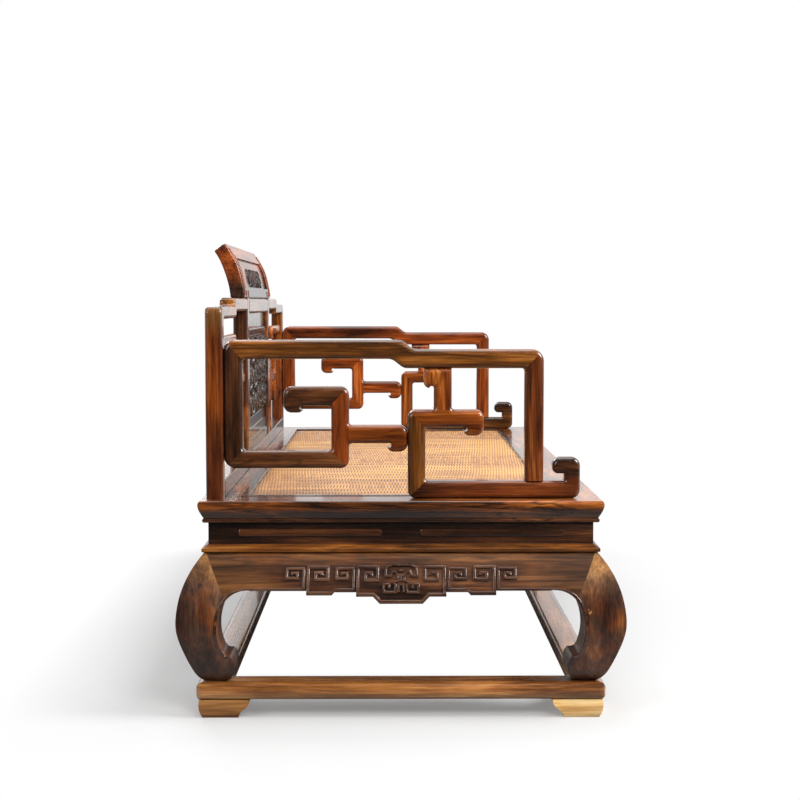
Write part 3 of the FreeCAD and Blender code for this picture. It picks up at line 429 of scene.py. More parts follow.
def white_floor(tree, parts):
    """1 where the floor is white: away from the bed, and far in under it."""
    sides = [maths(tree, "ABSOLUTE", parts[axis]) for axis in ("X", "Y")]
    aways = [maths(tree, "MAXIMUM", maths(tree, "SUBTRACT", side, half), 0.0)
             for side, half in zip(sides, BASE_HALF)]
    away = maths(tree, "SQRT", maths(tree, "ADD", *[maths(tree, "POWER", value, 2.0) for value in aways]))
    inner = [spread(tree, sides[0], BASE_HALF[0] - SHADE_IN_FAR, BASE_HALF[0] - SHADE_IN_NEAR, 1.0, 0.0),
             spread(tree, sides[1], BASE_HALF[1] - SHADE_SIDE, BASE_HALF[1], 1.0, 0.0)]
    outer = spread(tree, away, FADE_NEAR, FADE_FAR)
    return maths(tree, "MAXIMUM", outer, maths(tree, "MULTIPLY", *inner))


def floor_material(name):
    """A pale floor that keeps the bed's shadow, and that the camera sees as white away from it."""
    material, tree, shader = new_material(name)
    seen = node(tree, "LightPath").outputs["Is Camera Ray"]
    parts = parts_of(tree, node(tree, "TexCoord").outputs["Object"])
    unseen = spread(tree, parts["X"], *DARK_FLOOR, DARK_FLOOR_SHADE, FLOOR_SHADE)
    tree.links.new(blended(tree, seen, unseen, FLOOR_SHADE), shader.inputs["Base Color"])
    shader.inputs["Roughness"].default_value = 0.9
    shader.inputs["Specular IOR Level"].default_value = 0.0
    glow = maths(tree, "MULTIPLY", seen, FLOOR_GLOW)
    lift = node(tree, "Emission", {"Color": (1, 1, 1, 1), "Strength": glow}).outputs[0]
    lit = node(tree, "AddShader", {0: shader.outputs[0], 1: lift}).outputs[0]
    plain = node(tree, "Emission", {"Color": (1, 1, 1, 1), "Strength": 1.0}).outputs[0]
    white = maths(tree, "MULTIPLY", white_floor(tree, parts), seen)
    both = node(tree, "MixShader", {0: white, 1: lit, 2: plain}).outputs[0]
    tree.links.new(both, tree.nodes["Material Output"].inputs["Surface"])
    return material


# Carving of the aprons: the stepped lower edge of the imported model, with a rim along it
MOTIF_HALF, MOTIF_RAMP, MOTIF_DROP = 50 * MM, 16 * MM, 29 * MM
BLOCK_PLACE, BLOCK_PITCH = 105 * MM, 116 * MM
BLOCK_DROP, LAST_BLOCK_DROP = 13 * MM, 10 * MM
GAP_WIDE, GAP_RAMP, GAP_DROP = 50 * MM, 7 * MM, 3 * MM
BLOCKS = {"right": 2, "left": 2, "front": 4, "back": 4}
APRON_PLAIN = APRON_LOW + MOTIF_DROP
RIM_WIDE, RIM_HIGH = 9 * MM, 3.2 * MM
RIM_BEND_SHARE = 0.4
SLIT = 2.4 * MM
STROKE_HIGH = 4.4 * MM
SPIRAL_TOP = APRON_PLAIN + 55 * MM
GAP_SPIRAL_WIDE = 43 * MM
# Squared spirals beside each notch, one on the block and one on the gap outside it: the way each grows,
# how far from the notch it starts, its width, its stroke and its top
SPIRALS = ((-1, 0, 50 * MM, 8 * MM, SPIRAL_TOP),
           (1, SLIT, GAP_SPIRAL_WIDE, 6.8 * MM, SPIRAL_TOP - 4 * MM))
# A squared spiral: shares of its width away from its foot, and of its height
SPIRAL_SHARES = [(0, 0), (0, 1), (1, 1), (1, 0.53), (0.38, 0.53), (0.38, 0.78), (0.70, 0.78), (0.70, 0.69)]
# The middle motif's strokes: shares of its half width and of its height
MOTIF_STROKES = [
    [(-0.62, 1.0), (0.62, 1.0)],
    [(0.50, 1.0), (0.80, 0.92), (0.84, 0.62), (0.52, 0.62), (0.46, 0.80)],
    [(0.40, 0.80), (0.16, 0.62), (0.16, 0.46), (0.44, 0.36)],
    [(0.46, 0.36), (0.30, 0.30), (0.30, 0.03), (0.92, 0.03), (0.92, 0.32), (0.64, 0.32), (0.62, 0.17)],
    [(0.14, 0.30), (0.14, 0.03)],
]
MOTIF_BARS = [[(-half, height), (half, height)]
              for half, height in ((0.16, 0.62), (0.16, 0.46), (0.14, 0.30), (0.12, 0.80))]
MOTIF_STEM = [(0, 0.62), (0, 0.46)]
MOTIF_STROKE = 6.2 * MM
MOTIF_FOOT, MOTIF_RISE, MOTIF_WIDE = 24 * MM, 60 * MM, 44 * MM
# The rim along a leg's inner contour, and beside it the painted shade of a groove: a dark line
LEG_RIM_WIDE, LEG_RIM_HIGH, LEG_GROOVE_SHADE = 6 * MM, 2.6 * MM, 2.2 * MM
CARVING_SEED = 41


def notches(side):
    """The place of each notch of an apron, and how far the block before it and the gap after it drop."""
    last = BLOCKS[side] - 1
    return [(BLOCK_PLACE + number * BLOCK_PITCH, LAST_BLOCK_DROP if number == last else BLOCK_DROP,
             0 if number == last else GAP_DROP) for number in range(last + 1)]


def carved_reach(side):
    """How far from an apron's middle its carving reaches."""
    return notches(side)[-1][0] + GAP_SPIRAL_WIDE


# Woods of the rails that run round the bed, by the first words of their names
ROUND_TONES = {"apron": "walnut", "moulding": "golden", "waist": "black", "seat_rail": "figured",
               "base_rail": "base"}
# Their second tones, and the heights at which those start and are full; on the waist and the seat rail the
# second tone is painted shade
SECOND_TONES = {
    # Painted shade: the waist is darker at its top, under the seat's overhang
    "waist": ("umber", WAIST_HIGH - 10 * MM, WAIST_LOW + 8 * MM),
    # Painted shade: the seat rail is darker on its belly, which faces down
    "seat_rail": ("umber", SEAT_TOP - 18 * MM, SEAT_TOP - 30 * MM),
    "base_rail": ("gold", (BASE_LOW + BASE_TOP) / 2, BASE_LOW + 12 * MM),
}
# Woods of the other pieces, by the start of their names: grain axis and tone of each layer
WOODS = {
    "cane_strips": [("x", "umber")],
    "seat_braces": [("y", "planed")],
    "feet": [("y", "tan"), ("y", "raw", rising("Y", 0.05, -0.05))],
    "back_bottom_rail": [("x", "umber")],
    "back_middle_rail": [("x", "golden")],
    "back_step_rails": [("x", "golden")],
    "back_end_rails": [("x", "golden")],
    "back_middle_panels": [("x", "black")],
    "back_middle_post": [("z", "umber"), ("z", "amber", patchy(9.0, 0.5, 0.62, 0.8))],
    "back_end_post": [("z", "chestnut"), ("z", "amber", rising("Z", 0.62, 0.76, 0.04)),
                      ("z", "gold", rising("Z", 0.90, 0.95, 0.02))],
    "back_fret": [("x", "amber")],
    "headrest": [("x", "russet"), ("x", "black", rising("Z", 1.075, 1.02, 0.008))],
}
LEG_WOOD = [("z", "plum"), ("z", "amber", patchy(7.0, 0.54, 0.66, 0.55)),
            ("z", "gold", rising("Z", 0.315, 0.385, 0.03))]
# The leg with a knot, and the knot's place across and up the end view, and its radius
KNOTTED_LEG, KNOT = "leg_front_right", (-0.438, 0.262, 5 * MM)
# Bars of an arm: grain axis, and tones on the right arm and on the left one
ARM_WOODS = {
    "top_rail": ("y", "golden", "russet"), "rear_stile": ("z", "umber", "russet"),
    "low_rail": ("y", "umber", "russet"), "mid_scroll": ("y", "amber", "russet"),
    "hanger": ("z", "amber", "russet"), "front_post": ("z", "chestnut", "russet"),
    "rear_scroll": ("z", "russet", "russet"), "front_scroll": ("z", "golden", "amber"),
    "bottom_rail": ("y", "chestnut", "golden"),
}
HOOK_TONES = ("umber", "russet")
# Places of the mitred bars, which are the same on both arms
ARM_CORNERS = {member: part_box("arm_right_" + member) for member in ("rear_scroll", "front_scroll")}
# The joint under an arm's end curl, and half of its width
CURL_JOINT, JOINT_SOFT = SEAT_TOP + 52 * MM, 0.4 * MM
# Roughness, strength of the figure and weight of the wax, by a piece's name or its first word
SURFACES = {"leg": (0.34, 0.5, 0.15), "apron": (0.3, 1.0, 0.2), "headrest": (0.25, 0.4, 0.4),
            "feet": (0.55, 0.6, 0.0), "seat": (0.2, 1.8, 0.5), "seat_braces": (0.5, 0.6, 0.0)}
PLAIN_SURFACE = (0.2, 1.0, 0.5)


def leg_layers(name):
    """The layers of a leg, with the rim painted beside its inner contour and a groove's shade painted as a
    dark line beside the rim.
    """
    layers = list(LEG_WOOD)
    for axis, half in (("Y", HALF["front"]), ("X", HALF["right"])):
        layers.append(("z", "umber", beside_contour(axis, half, 0.0, LEG_RIM_WIDE)))
        # Painted shade: a dark line beside the rim stands for a groove that the geometry lacks
        layers.append(("z", "black", beside_contour(axis, half, LEG_RIM_WIDE, LEG_RIM_WIDE + LEG_GROOVE_SHADE)))
    if name == KNOTTED_LEG:
        layers.append(("z", "tan", round_spot(*KNOT)))
    return layers


def arm_layers(name):
    """The layers of a bar of an arm; three of the bars are joined from two boards."""
    _, side, member = name.split("_", 2)
    arm = ENDS.index(side)
    axis, *tones = ARM_WOODS[member]
    layers = [(axis, tones[arm])]
    if member == "rear_scroll":
        low, high = ARM_CORNERS[member]
        layers.append(("y", HOOK_TONES[arm], beyond_mitre(low.y, high.z, 1), True))
    if member == "front_scroll":
        high = ARM_CORNERS[member][1]
        layers.append(("y", "amber", beyond_mitre(high.y, high.z, -1), True))
    if member == "bottom_rail":
        layers.append(("y", "umber", rising("Z", CURL_JOINT - JOINT_SOFT, CURL_JOINT + JOINT_SOFT), True))
    return layers


def round_layers(name):
    """The layers of a rail that runs along one side of the bed."""
    rail, side = name.rsplit("_", 1)
    axis = grain_of(side)
    layers = [(axis, ROUND_TONES[rail])]
    if rail == "apron":
        layers.append((axis, "amber", patchy(6.5, 0.5, 0.66, 0.45)))
        # Painted shade: the carved field is darker, as if its ground were sunk
        layers.append((axis, "umber", carved_ground_shade(axis.upper(), carved_reach(side), SPIRAL_TOP)))
    if rail in SECOND_TONES:
        tone, start, full = SECOND_TONES[rail]
        layers.append((axis, tone, rising("Z", start, full, 2 * MM)))
    return layers


def layers_of(name):
    """The layers of wood of a node."""
    if name.startswith("leg_"):
        return leg_layers(name)
    if name.startswith("arm_"):
        return arm_layers(name)
    for start, layers in WOODS.items():
        if name.startswith(start):
            return layers
    return round_layers(name)


def dress_nodes():
    """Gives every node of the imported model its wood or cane."""
    for name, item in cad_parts.items():
        if name == "cane_mat":
            material = cane("cane_weave")
        else:
            gloss, figure, coat = SURFACES.get(name) or SURFACES.get(name.split("_")[0], PLAIN_SURFACE)
            seed = sum(map(ord, name))
            material = wood(name + "_wood", layers_of(name), seed, gloss, figure, coat=coat)
        item.data.materials.clear()
        item.data.materials.append(material)


# Pieces made of relief on a surface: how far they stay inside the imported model's box, how far their feet
# are sunk in, how far a carved field's ground stands off, and the angle from which edges are sharp
BOX_MARGIN, SINK, FIELD_GROUND = 0.1 * MM, 1.0 * MM, 0.2 * MM
SHARP_ANGLE = math.radians(50)


class Shell:
    """Points and faces of one piece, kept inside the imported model's box."""

    def __init__(self):
        self.points = []
        self.faces = []

    def add(self, point):
        """Adds a point, moved into the box where it lies outside."""
        low, high = cad_box
        self.points.append(tuple(min(max(value, a + BOX_MARGIN), b - BOX_MARGIN)
                                 for value, a, b in zip(point, low, high)))

    def strip(self, rings):
        """Joins rings of as many points each, in order, and caps the first and the last."""
        start, count = len(self.points), len(rings[0])
        for ring in rings:
            for point in ring:
                self.add(point)
        last = start + (len(rings) - 1) * count
        for here in range(start, last, count):
            there = here + count
            for side in range(count):
                after = (side + 1) % count
                self.faces.append((here + side, here + after, there + after, there + side))
        self.faces.append(tuple(range(start, start + count))[::-1])
        self.faces.append(tuple(range(last, last + count)))

    def piece(self, name, material):
        """Makes the piece, which rides on the bed."""
        mesh = bpy.data.meshes.new(name)
        mesh.from_pydata(self.points, [], self.faces)
        mesh.validate()
        mesh.polygons.foreach_set("use_smooth", [True] * len(mesh.polygons))
        mesh.set_sharp_from_angle(angle=SHARP_ANGLE)
        mesh.materials.append(material)
        item = bpy.data.objects.new(name, mesh)
        bpy.context.scene.collection.objects.link(item)
        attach(item, "root")


def surface_of(side, nodes):
    """What gives the point and the way out of a side at a place along it and a height."""
    points, faces = [], []
    for name in nodes:
        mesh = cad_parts[name].data
        start = len(points)
        points += [vertex.co.copy() for vertex in mesh.vertices]
        faces += [[start + index for index in face.vertices] for face in mesh.polygons]
    tree = BVHTree.FromPolygons(points, faces)
    outside = max(HALF.values()) + 1

    def at(along, height):
        origin = OUT[side] * outside + ALONG[side] * along + UP * height
        place, normal, _, _ = tree.ray_cast(origin, -OUT[side])
        if place is None:
            place = tree.find_nearest(OUT[side] * HALF[side] + ALONG[side] * along + UP * height)[0]
            normal = OUT[side]
        return place, normal

    return at


def raised(at, along, height, share, rise):
    """A point that stands a share of a rise off a surface, or that is sunk in at share 0."""
    place, normal = at(along, height)
    return place + normal * (share * rise if share else -SINK)


# Section of a raised band: shares of its half width and of its height
BAND_SHARES = [(-1, 0), (-1, 0.4), (-0.72, 0.86), (-0.4, 1), (0.4, 1), (0.72, 0.86), (1, 0.4), (1, 0)]
BAND_STEP = 6 * MM
# The least cosine at a corner, so that a sharp one doesn't stretch a band without end
LEAST_CORNER = 0.5


def divided(path, step):
    """A path with points added so that none of its runs is longer than a step."""
    points = []
    for start, end in zip(path, path[1:]):
        run = Vector(end) - Vector(start)
        count = max(1, math.ceil(run.length / step))
        points += [Vector(start) + run * (index / count) for index in range(count)]
    return points + [Vector(path[-1])]


def sideways(points, index):
    """The way across a path at one of its points, longer at a corner so that a band keeps its width."""
    here = points[index]
    ways = [(here - points[index - 1]).normalized()] if index else []
    if index + 1 < len(points):
        ways.append((points[index + 1] - here).normalized())
    way = sum(ways, Vector((0, 0))).normalized()
    across = Vector((-way.y, way.x))
    straight = Vector((-ways[0].y, ways[0].x))
    return across / max(LEAST_CORNER, across.dot(straight))


def band(shell, at, path, wide, high):
    """A raised band with rounded edges along a path on a surface."""
    points = divided(path, BAND_STEP)
    rings = []
    for index, point in enumerate(points):
        across = sideways(points, index)
        spots = [(point + across * (aside * wide / 2), share) for aside, share in BAND_SHARES]
        rings.append([raised(at, spot.x, spot.y, share, high) for spot, share in spots])
    shell.strip(rings)


def moved_aside(path, reach):
    """A path moved to its left or, on an apron's other half, to its right."""
    points = [Vector(point) for point in path]
    hand = 1 if path[0][0] >= 0 else -1
    return [tuple(point + sideways(points, index) * hand * reach) for index, point in enumerate(points)]


def curved(points, count=10):
    """Points of a smooth curve through the points given."""
    ends = [points[0]] + points + [points[-1]]
    smooth = []
    for before, start, end, after in zip(ends, ends[1:], ends[2:], ends[3:]):
        for index in range(count):
            t = index / count
            weights = (-0.5 * t + t ** 2 - 0.5 * t ** 3, 1 - 2.5 * t ** 2 + 1.5 * t ** 3,
                       0.5 * t + 2 * t ** 2 - 1.5 * t ** 3, -0.5 * t ** 2 + 0.5 * t ** 3)
            smooth.append(tuple(sum(weight * point[axis] for weight, point in
                                    zip(weights, (before, start, end, after)))
                                for axis in range(len(start))))
    return smooth + [points[-1]]


def mirror_path(path):
    """A path on the other side of an apron's middle."""
    return [(-a, b) for a, b in path]


def on_side(points, place, width, foot, rise, mirror=1):
    """Shares of a figure as points (along, height) of a side."""
    return [(mirror * (place + share * width), foot + height * rise) for share, height in points]


def rims(side):
    """The middle lines of the rim over half an apron's lower edge, from notch to notch."""
    half = RIM_WIDE / 2
    bend = half * RIM_BEND_SHARE
    paths = []
    path = [(0, APRON_LOW + half), (MOTIF_HALF - bend, APRON_LOW + half)]
    ramp_end = MOTIF_HALF + MOTIF_RAMP
    for place, block_drop, gap_drop in notches(side):
        low = APRON_PLAIN - block_drop + half
        paths.append(path + [(ramp_end - bend, low), (place - half, low)])
        low = APRON_PLAIN - gap_drop + half
        ramp_end = place + GAP_WIDE + GAP_RAMP
        path = [(place + SLIT + half, low), (place + GAP_WIDE - bend, low)]
    return paths


def carve_rims(shell, at, side):
    """The rims along an apron's lower edge and along the inner contours of the legs beside it."""
    blocks = rims(side)
    middle = mirror_path(blocks[0])[::-1] + blocks[0][1:]
    for path in [middle] + blocks[1:] + [mirror_path(path) for path in blocks[1:]]:
        band(shell, at, path, RIM_WIDE, RIM_HIGH)
    contour = curved([(reach_of(side) + out, height) for out, height in CONTOUR])
    contour.insert(0, (notches(side)[-1][0] + SLIT, APRON_PLAIN))
    for path in (contour, mirror_path(contour)):
        band(shell, at, moved_aside(path, LEG_RIM_WIDE / 2), LEG_RIM_WIDE, LEG_RIM_HIGH)


def carve_spirals(shell, at, side):
    """A squared spiral on each side of each notch; the inner one grows to the apron's middle."""
    for mirror in (-1, 1):
        for place, *drops in notches(side):
            for (way, shift, wide, stroke, top), drop in zip(SPIRALS, drops):
                half = stroke / 2
                foot = APRON_PLAIN - drop + RIM_WIDE / 2
                path = on_side(SPIRAL_SHARES, place + shift + way * half, way * (wide - half), foot,
                               top - half - foot, mirror)
                band(shell, at, path, stroke, STROKE_HIGH)


def carve_motif(shell, at):
    """The motif in the middle of an apron."""
    foot = APRON_LOW + MOTIF_FOOT
    paths = [on_side(stroke, 0, MOTIF_WIDE, foot, MOTIF_RISE, mirror)
             for stroke in MOTIF_STROKES for mirror in (-1, 1)]
    paths += [on_side(stroke, 0, MOTIF_WIDE, foot, MOTIF_RISE) for stroke in MOTIF_BARS + [MOTIF_STEM]]
    for path in paths:
        band(shell, at, path, MOTIF_STROKE, STROKE_HIGH)


def carve_apron(side):
    """The rims, the squared spirals and the middle motif of one apron and the legs beside it."""
    ends = ("front", "back") if side in ENDS else ENDS
    legs = [f"leg_{end}_{side}" if side in ENDS else f"leg_{side}_{end}" for end in ends]
    at = surface_of(side, [f"apron_{side}"] + legs)
    shell = Shell()
    carve_rims(shell, at, side)
    carve_spirals(shell, at, side)
    carve_motif(shell, at)
    layers = [(grain_of(side), "plum")]
    seed = CARVING_SEED + len(side)
    material = wood(f"carving_{side}_wood", layers, seed, 0.16, 0.6, shade_and_grime=0.75, coat=0.8)
    shell.piece(f"carving_{side}", material)


# Raised panels on the waist
PANEL_HIGH = 2.6 * MM
PANEL_ROUND = 3 * MM
PANEL_CORNER = 7 * MM
PANEL_BELOW, PANEL_ABOVE = 18 * MM, 16.5 * MM
PANEL_GAP, PANEL_EDGE = 90 * MM, 72 * MM
WAIST_BACK = 21 * MM
WAIST_PANELS = {"right": 2, "left": 2, "front": 4, "back": 4}
# Section of a raised panel's edge: shares of its rounding inwards, and of its height
EDGE_SHARES = [(0, 0), (0, 0.35), (0.3, 0.8), (1, 1)]
PANEL_SEED = 71


def around(centre, reach, angle):
    """The place at a distance and an angle from a centre."""
    return centre[0] + reach * math.cos(angle), centre[1] + reach * math.sin(angle)


def round_corners(low, high, radius, count=4):
    """The outline of a rectangle with rounded corners, anticlockwise."""
    left, foot = [value + radius for value in low]
    right, top = [value - radius for value in high]
    centres = (right, top), (left, top), (left, foot), (right, foot)
    return [around(centre, radius, math.pi / 2 * (turn + index / count))
            for turn, centre in enumerate(centres) for index in range(count + 1)]


def plaque(shell, at, low, high):
    """A raised panel with rounded corners and edges."""
    rings = []
    for inwards, share in EDGE_SHARES:
        inset = inwards * PANEL_ROUND
        corners = [value + inset for value in low], [value - inset for value in high]
        outline = round_corners(*corners, max(PANEL_CORNER - inset, PANEL_CORNER / 3))
        rings.append([raised(at, along, height, share, PANEL_HIGH) for along, height in outline])
    shell.strip(rings)


def panel_waist(side):
    """Long raised panels in a row on one waist board."""
    shell = Shell()
    at = surface_of(side, [f"waist_{side}"])
    span = reach_of(side) - PANEL_EDGE - WAIST_BACK
    panels = WAIST_PANELS[side]
    width = (2 * span - PANEL_GAP * (panels - 1)) / panels
    low, high = WAIST_LOW + PANEL_BELOW, WAIST_HIGH - PANEL_ABOVE
    for index in range(panels):
        start = -span + index * (width + PANEL_GAP)
        plaque(shell, at, (start, low), (start + width, high))
    layers = [(grain_of(side), "umber")]
    material = wood(f"waist_panels_{side}_wood", layers, PANEL_SEED + len(side), 0.16, shade_and_grime=0.5, coat=0.8)
    shell.piece(f"waist_panels_{side}", material)


# Scroll carving of the back's panel and of the headrest: a vine's turns, and the shares of its radius
# and its thickness that it loses to its end
VINE_TURNS, VINE_CURL_SHARE, VINE_THIN_SHARE = 1.6, 0.86, 0.45
VINE_RADIUS_SHARE, VINE_THICK_SHARE = 0.36, 0.075
# Leaves round a curl: the first one's angle, the angle between two, and how far a tip leans
LEAF_START, LEAF_PITCH, LEAF_LEAN = 0.7, 1.05, 0.55
# A leaf's reach and bow as shares of the curl's radius, and its foot and taper of the vine's thickness
LEAF_REACH_SHARE, LEAF_BOW_SHARE, LEAF_FOOT_SHARE, LEAF_TAPER_SHARE = 1.42, 0.18, 0.95, 0.6


def spiral(centre, radius, start, hand, thick, count=60):
    """Points (x, z, half width) of a vine that curls in around a centre."""
    points = []
    for index in range(count + 1):
        share = index / count
        angle = start + hand * VINE_TURNS * 2 * math.pi * share
        spot = around(centre, radius * (1 - VINE_CURL_SHARE * share), angle)
        points.append((*spot, thick * (1 - VINE_THIN_SHARE * share)))
    return points


def leaves(centre, radius, start, hand, thick, number=5, count=12):
    """Short curved leaves round the outside of a curl."""
    strokes = []
    for index in range(number):
        angle = start + hand * (LEAF_START + index * LEAF_PITCH)
        base = around(centre, radius, angle)
        end = around(centre, LEAF_REACH_SHARE * radius, angle + hand * LEAF_LEAN)
        bow = around((0, 0), LEAF_BOW_SHARE * radius, angle)
        middle = [(a + b) / 2 + c for a, b, c in zip(base, end, bow)]
        for share in np.linspace(0, 1, count):
            x, z = [(1 - share) ** 2 * a + 2 * share * (1 - share) * b + share ** 2 * c
                    for a, b, c in zip(base, middle, end)]
            strokes.append((x, z, thick * (LEAF_FOOT_SHARE - LEAF_TAPER_SHARE * share)))
    return strokes


def scrollwork(low, high, cell):
    """Vines that fill a rectangle and mirror each other about its middle."""
    wide, tall = high[0] - low[0], high[1] - low[1]
    columns = max(2, 2 * round(wide / cell / 2))
    rows = max(1, round(tall / cell))
    step_x, step_z = wide / columns, tall / rows
    thick = VINE_THICK_SHARE * min(step_x, step_z)
    radius = VINE_RADIUS_SHARE * min(step_x, step_z)
    strokes = []
    for row in range(rows):
        for column in range(columns):
            mirror = 1 if column < columns / 2 else -1
            number = column if mirror > 0 else columns - 1 - column
            hand = 1 if (number + row) % 2 else -1
            centre = (low[0] + (column + 0.5) * step_x, low[1] + (row + 0.5) * step_z)
            start = math.pi * (0.5 + 0.25 * mirror) * hand * mirror
            strokes += spiral(centre, radius, start, hand * mirror, thick)
            strokes += leaves(centre, radius, start, hand * mirror, thick)
    return strokes


def relief(name, low, high, strokes, at, rise, material, grid):
    """A carved field: a fine grid raised where it is near a stroke, with its border sunk in."""
    columns = math.ceil((high[0] - low[0]) / grid)
    rows = math.ceil((high[1] - low[1]) / grid)
    x, z = np.meshgrid(np.linspace(low[0], high[0], columns + 1), np.linspace(low[1], high[1], rows + 1))
    height = np.zeros(x.shape)
    widest = max(half for _, _, half in strokes)
    for a, b, half in strokes:
        near = ((x - a) ** 2 + (z - b) ** 2) / half ** 2
        height = np.maximum(height, np.sqrt(np.clip(1 - near, 0, 1)) * math.sqrt(half / widest))
    height = height * rise + FIELD_GROUND
    height[[0, -1], :] = height[:, [0, -1]] = -SINK
    shell = Shell()
    for a, b, reach in zip(x.ravel(), z.ravel(), height.ravel()):
        place, normal = at(a, b)
        shell.add(place + normal * reach)
    wide = columns + 1
    for row in range(rows):
        for column in range(columns):
            corner = row * wide + column
            shell.faces.append((corner, corner + 1, corner + 1 + wide, corner + wide))
    shell.piece(name, material)


# The back's carved field: its heights over the seat, its margin, its cells, its relief and its grid
FIELD_LOW, FIELD_HIGH, FIELD_MARGIN = 134 * MM, 362 * MM, 4 * MM
BACK_CELL, BACK_RELIEF, BACK_GRID = 76 * MM, 9 * MM, 2.0 * MM
BACK_SEED, HEADREST_SEED, BEAD_SEED = 19, 23, 27
# The headrest's height, and its carved field: half of its width, and shares of the headrest's height
HEADREST_TALL = 150 * MM
HEADREST_FIELD_HALF, HEADREST_FIELD_SHARES = 200 * MM, (0.22, 0.58)
HEADREST_CELL, HEADREST_RELIEF, HEADREST_GRID = 58 * MM, 5 * MM, 1.5 * MM
# Lines on the headrest's stiles: insets from its ends, places, and shares of its height
BEAD_INSETS, BEAD_SHARES = (12 * MM, 19 * MM, 26 * MM), (0.06, 0.3, 0.6, 0.92)
LINE_PLACES, LINE_SHARES = (307 * MM, 362 * MM), (0.03, 0.16)
# Width and height of a bead, of a line and of a turn of the rope
BEAD_SIZE, LINE_SIZE, ROPE_SIZE = (4 * MM, 2.2 * MM), (3 * MM, 1.6 * MM), (3.4 * MM, 2.6 * MM)
# The rope on each stile: inset, turns, half width, how far a turn rises, and shares of the height
ROPE_INSET, ROPE_TURNS, ROPE_HALF, ROPE_SLANT = 36 * MM, 16, 3 * MM, 4 * MM
ROPE_FOOT_SHARE, ROPE_LONG_SHARE = 0.2, 0.6


def carve_back():
    """The carved panel between the middle posts, on the front and on the back of the bed."""
    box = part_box("back_middle_panels")
    low = (box[0].x + FIELD_MARGIN, SEAT_TOP + FIELD_LOW)
    high = (box[1].x - FIELD_MARGIN, SEAT_TOP + FIELD_HIGH)
    strokes = scrollwork(low, high, BACK_CELL)
    material = wood("back_carving_wood", [("x", "black")], BACK_SEED, 0.32, shade_and_grime=0.9, coat=0.2)
    for side in ("front", "back"):
        at = surface_of(side, ["back_middle_panels"])
        relief(f"back_carving_{side}", low, high, strokes, at, BACK_RELIEF, material, BACK_GRID)


def carve_headrest():
    """The carved field in the headrest's recess, and the beads, rope and lines on its stiles."""
    at = surface_of("front", ["headrest"])
    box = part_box("headrest")
    foot = box[1].z - HEADREST_TALL
    low, high = [foot + share * HEADREST_TALL for share in HEADREST_FIELD_SHARES]
    corners = (-HEADREST_FIELD_HALF, low), (HEADREST_FIELD_HALF, high)
    strokes = scrollwork(*corners, HEADREST_CELL)
    material = wood("headrest_carving_wood", [("x", "black")], HEADREST_SEED, 0.36, shade_and_grime=0.9, coat=0.1)
    relief("headrest_carving", *corners, strokes, at, HEADREST_RELIEF, material, HEADREST_GRID)
    shell = Shell()
    for mirror in (-1, 1):
        for inset in BEAD_INSETS:
            path = [(mirror * (box[1].x - inset), foot + share * HEADREST_TALL) for share in BEAD_SHARES]
            band(shell, at, path, *BEAD_SIZE)
        for place in LINE_PLACES:
            path = [(mirror * place, foot + share * HEADREST_TALL) for share in LINE_SHARES]
            band(shell, at, path, *LINE_SIZE)
        rope = box[1].x - ROPE_INSET
        for turn in range(ROPE_TURNS):
            height = foot + HEADREST_TALL * (ROPE_FOOT_SHARE + ROPE_LONG_SHARE * turn / ROPE_TURNS)
            ends = (rope - ROPE_HALF, height), (rope + ROPE_HALF, height + ROPE_SLANT)
            path = [(mirror * along, rise) for along, rise in ends]
            band(shell, at, path, *ROPE_SIZE)
    material = wood("headrest_bead_wood", [("z", "amber")], BEAD_SEED, 0.16, shade_and_grime=0.5)
    shell.piece("headrest_beads", material)


# Stage, light and camera
CAMERA_PLACE = Vector((-4.380, 0.027, 0.982))
CAMERA_PITCH = math.radians(3.88)
CAMERA_YAW = math.radians(0.415)
CAMERA_LENS_SHARE = 1450 / 800
SENSOR = 36.0
FLOOR_REACH = 14.0
# Lamps: place, the point they face, size, watts, and whether they show in reflections
LAMPS = {
    "key": ((-1.8, -3.4, 3.0), (0, 0, 0.5), (1.8, 1.8), 230, True),
    "top": ((-0.2, 0.2, 3.6), (0, 0, 0.4), (3.2, 2.0), 70, True),
    "left": ((-3.6, 2.8, 2.2), (-0.8, 0, 0.6), (1.2, 1.6), 50, True),
    "near": ((-4.6, -1.3, 3.3), (-1, 0, 0.5), (2.0, 1.6), 150, False),
    "rear": ((3.6, 1.8, 2.6), (0.6, 0, 0.5), (2.0, 1.6), 90, True),
}
# The world's strength: in reflections by a ray's way along X, and for soft light by its way up and along X
MIRRORED_WAYS, MIRRORED_STRENGTHS = (-0.65, 0.05), (0.05, 1.0)
SOFT_RISES, SOFT_STRENGTHS = (-0.2, 0.7), (0.14, 0.42)
SOFT_WAYS, SOFT_SHARES = (-0.95, -0.4), (0.35, 1.0)


def make_camera():
    """The camera of the photograph: level with the arms, seen from the end of the bed."""
    data = bpy.data.cameras.new("camera")
    data.sensor_width = SENSOR
    data.lens = CAMERA_LENS_SHARE * SENSOR
    item = bpy.data.objects.new("camera", data)
    bpy.context.scene.collection.objects.link(item)
    forward = Vector((math.cos(CAMERA_PITCH) * math.cos(CAMERA_YAW),
                      -math.cos(CAMERA_PITCH) * math.sin(CAMERA_YAW), -math.sin(CAMERA_PITCH)))
    right = Vector((-math.sin(CAMERA_YAW), -math.cos(CAMERA_YAW), 0))
    above = right.cross(forward)
    turn = Matrix((right, above, -forward)).transposed().to_4x4()
    item.matrix_world = Matrix.Translation(CAMERA_PLACE) @ turn
    bpy.context.scene.camera = item


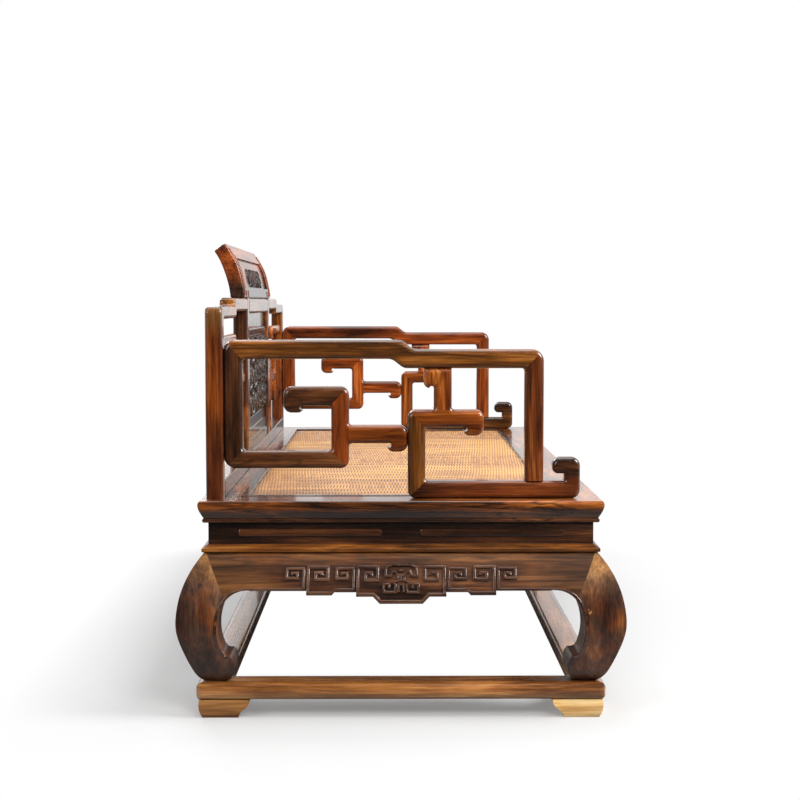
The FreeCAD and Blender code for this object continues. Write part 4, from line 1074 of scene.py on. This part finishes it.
def make_lamp(name, place, aim, size, watts, mirrored):
    """A soft box that faces a point, and that shows in reflections or not."""
    data = bpy.data.lights.new(name, "AREA")
    data.shape = "RECTANGLE"
    data.size, data.size_y = size
    data.energy = watts
    item = bpy.data.objects.new(name, data)
    item.visible_glossy = mirrored
    bpy.context.scene.collection.objects.link(item)
    item.location = place
    item.rotation_euler = (Vector(aim) - Vector(place)).to_track_quat("-Z", "Y").to_euler()


def make_world():
    """A studio that is white where the camera looks, and darker for light that comes from the right end."""
    world = bpy.data.worlds.new("studio")
    bpy.context.scene.world = world
    world.use_nodes = True
    tree = world.node_tree
    light = node(tree, "LightPath").outputs
    way = parts_of(tree, node(tree, "TexCoord").outputs["Generated"])
    mirrored = spread(tree, way["X"], *MIRRORED_WAYS, *MIRRORED_STRENGTHS)
    soft = spread(tree, way["Z"], *SOFT_RISES, *SOFT_STRENGTHS)
    soft = maths(tree, "MULTIPLY", soft, spread(tree, way["X"], *SOFT_WAYS, *SOFT_SHARES))
    strength = blended(tree, light["Is Glossy Ray"], soft, mirrored)
    seen = maths(tree, "MAXIMUM", light["Is Camera Ray"], light["Is Transmission Ray"])
    tree.links.new(blended(tree, seen, strength, 1.0), tree.nodes["Background"].inputs["Strength"])
    tree.nodes["Background"].inputs["Color"].default_value = (1, 1, 1, 1)


def make_stage():
    """A pale floor and soft lamps."""
    mesh = bpy.data.meshes.new("floor")
    corners = [(x * FLOOR_REACH, y * FLOOR_REACH, 0) for x, y in ((-1, -1), (1, -1), (1, 1), (-1, 1))]
    mesh.from_pydata(corners, [], [(0, 1, 2, 3)])
    mesh.materials.append(floor_material("floor_paint"))
    floor = bpy.data.objects.new("floor", mesh)
    bpy.context.scene.collection.objects.link(floor)
    for name, settings in LAMPS.items():
        make_lamp(name, *settings)


bpy.context.scene.view_settings.view_transform = "Standard"
make_camera()
make_world()
make_stage()
dress_nodes()
for bed_side in OUT:
    carve_apron(bed_side)
    panel_waist(bed_side)
carve_back()
carve_headrest()
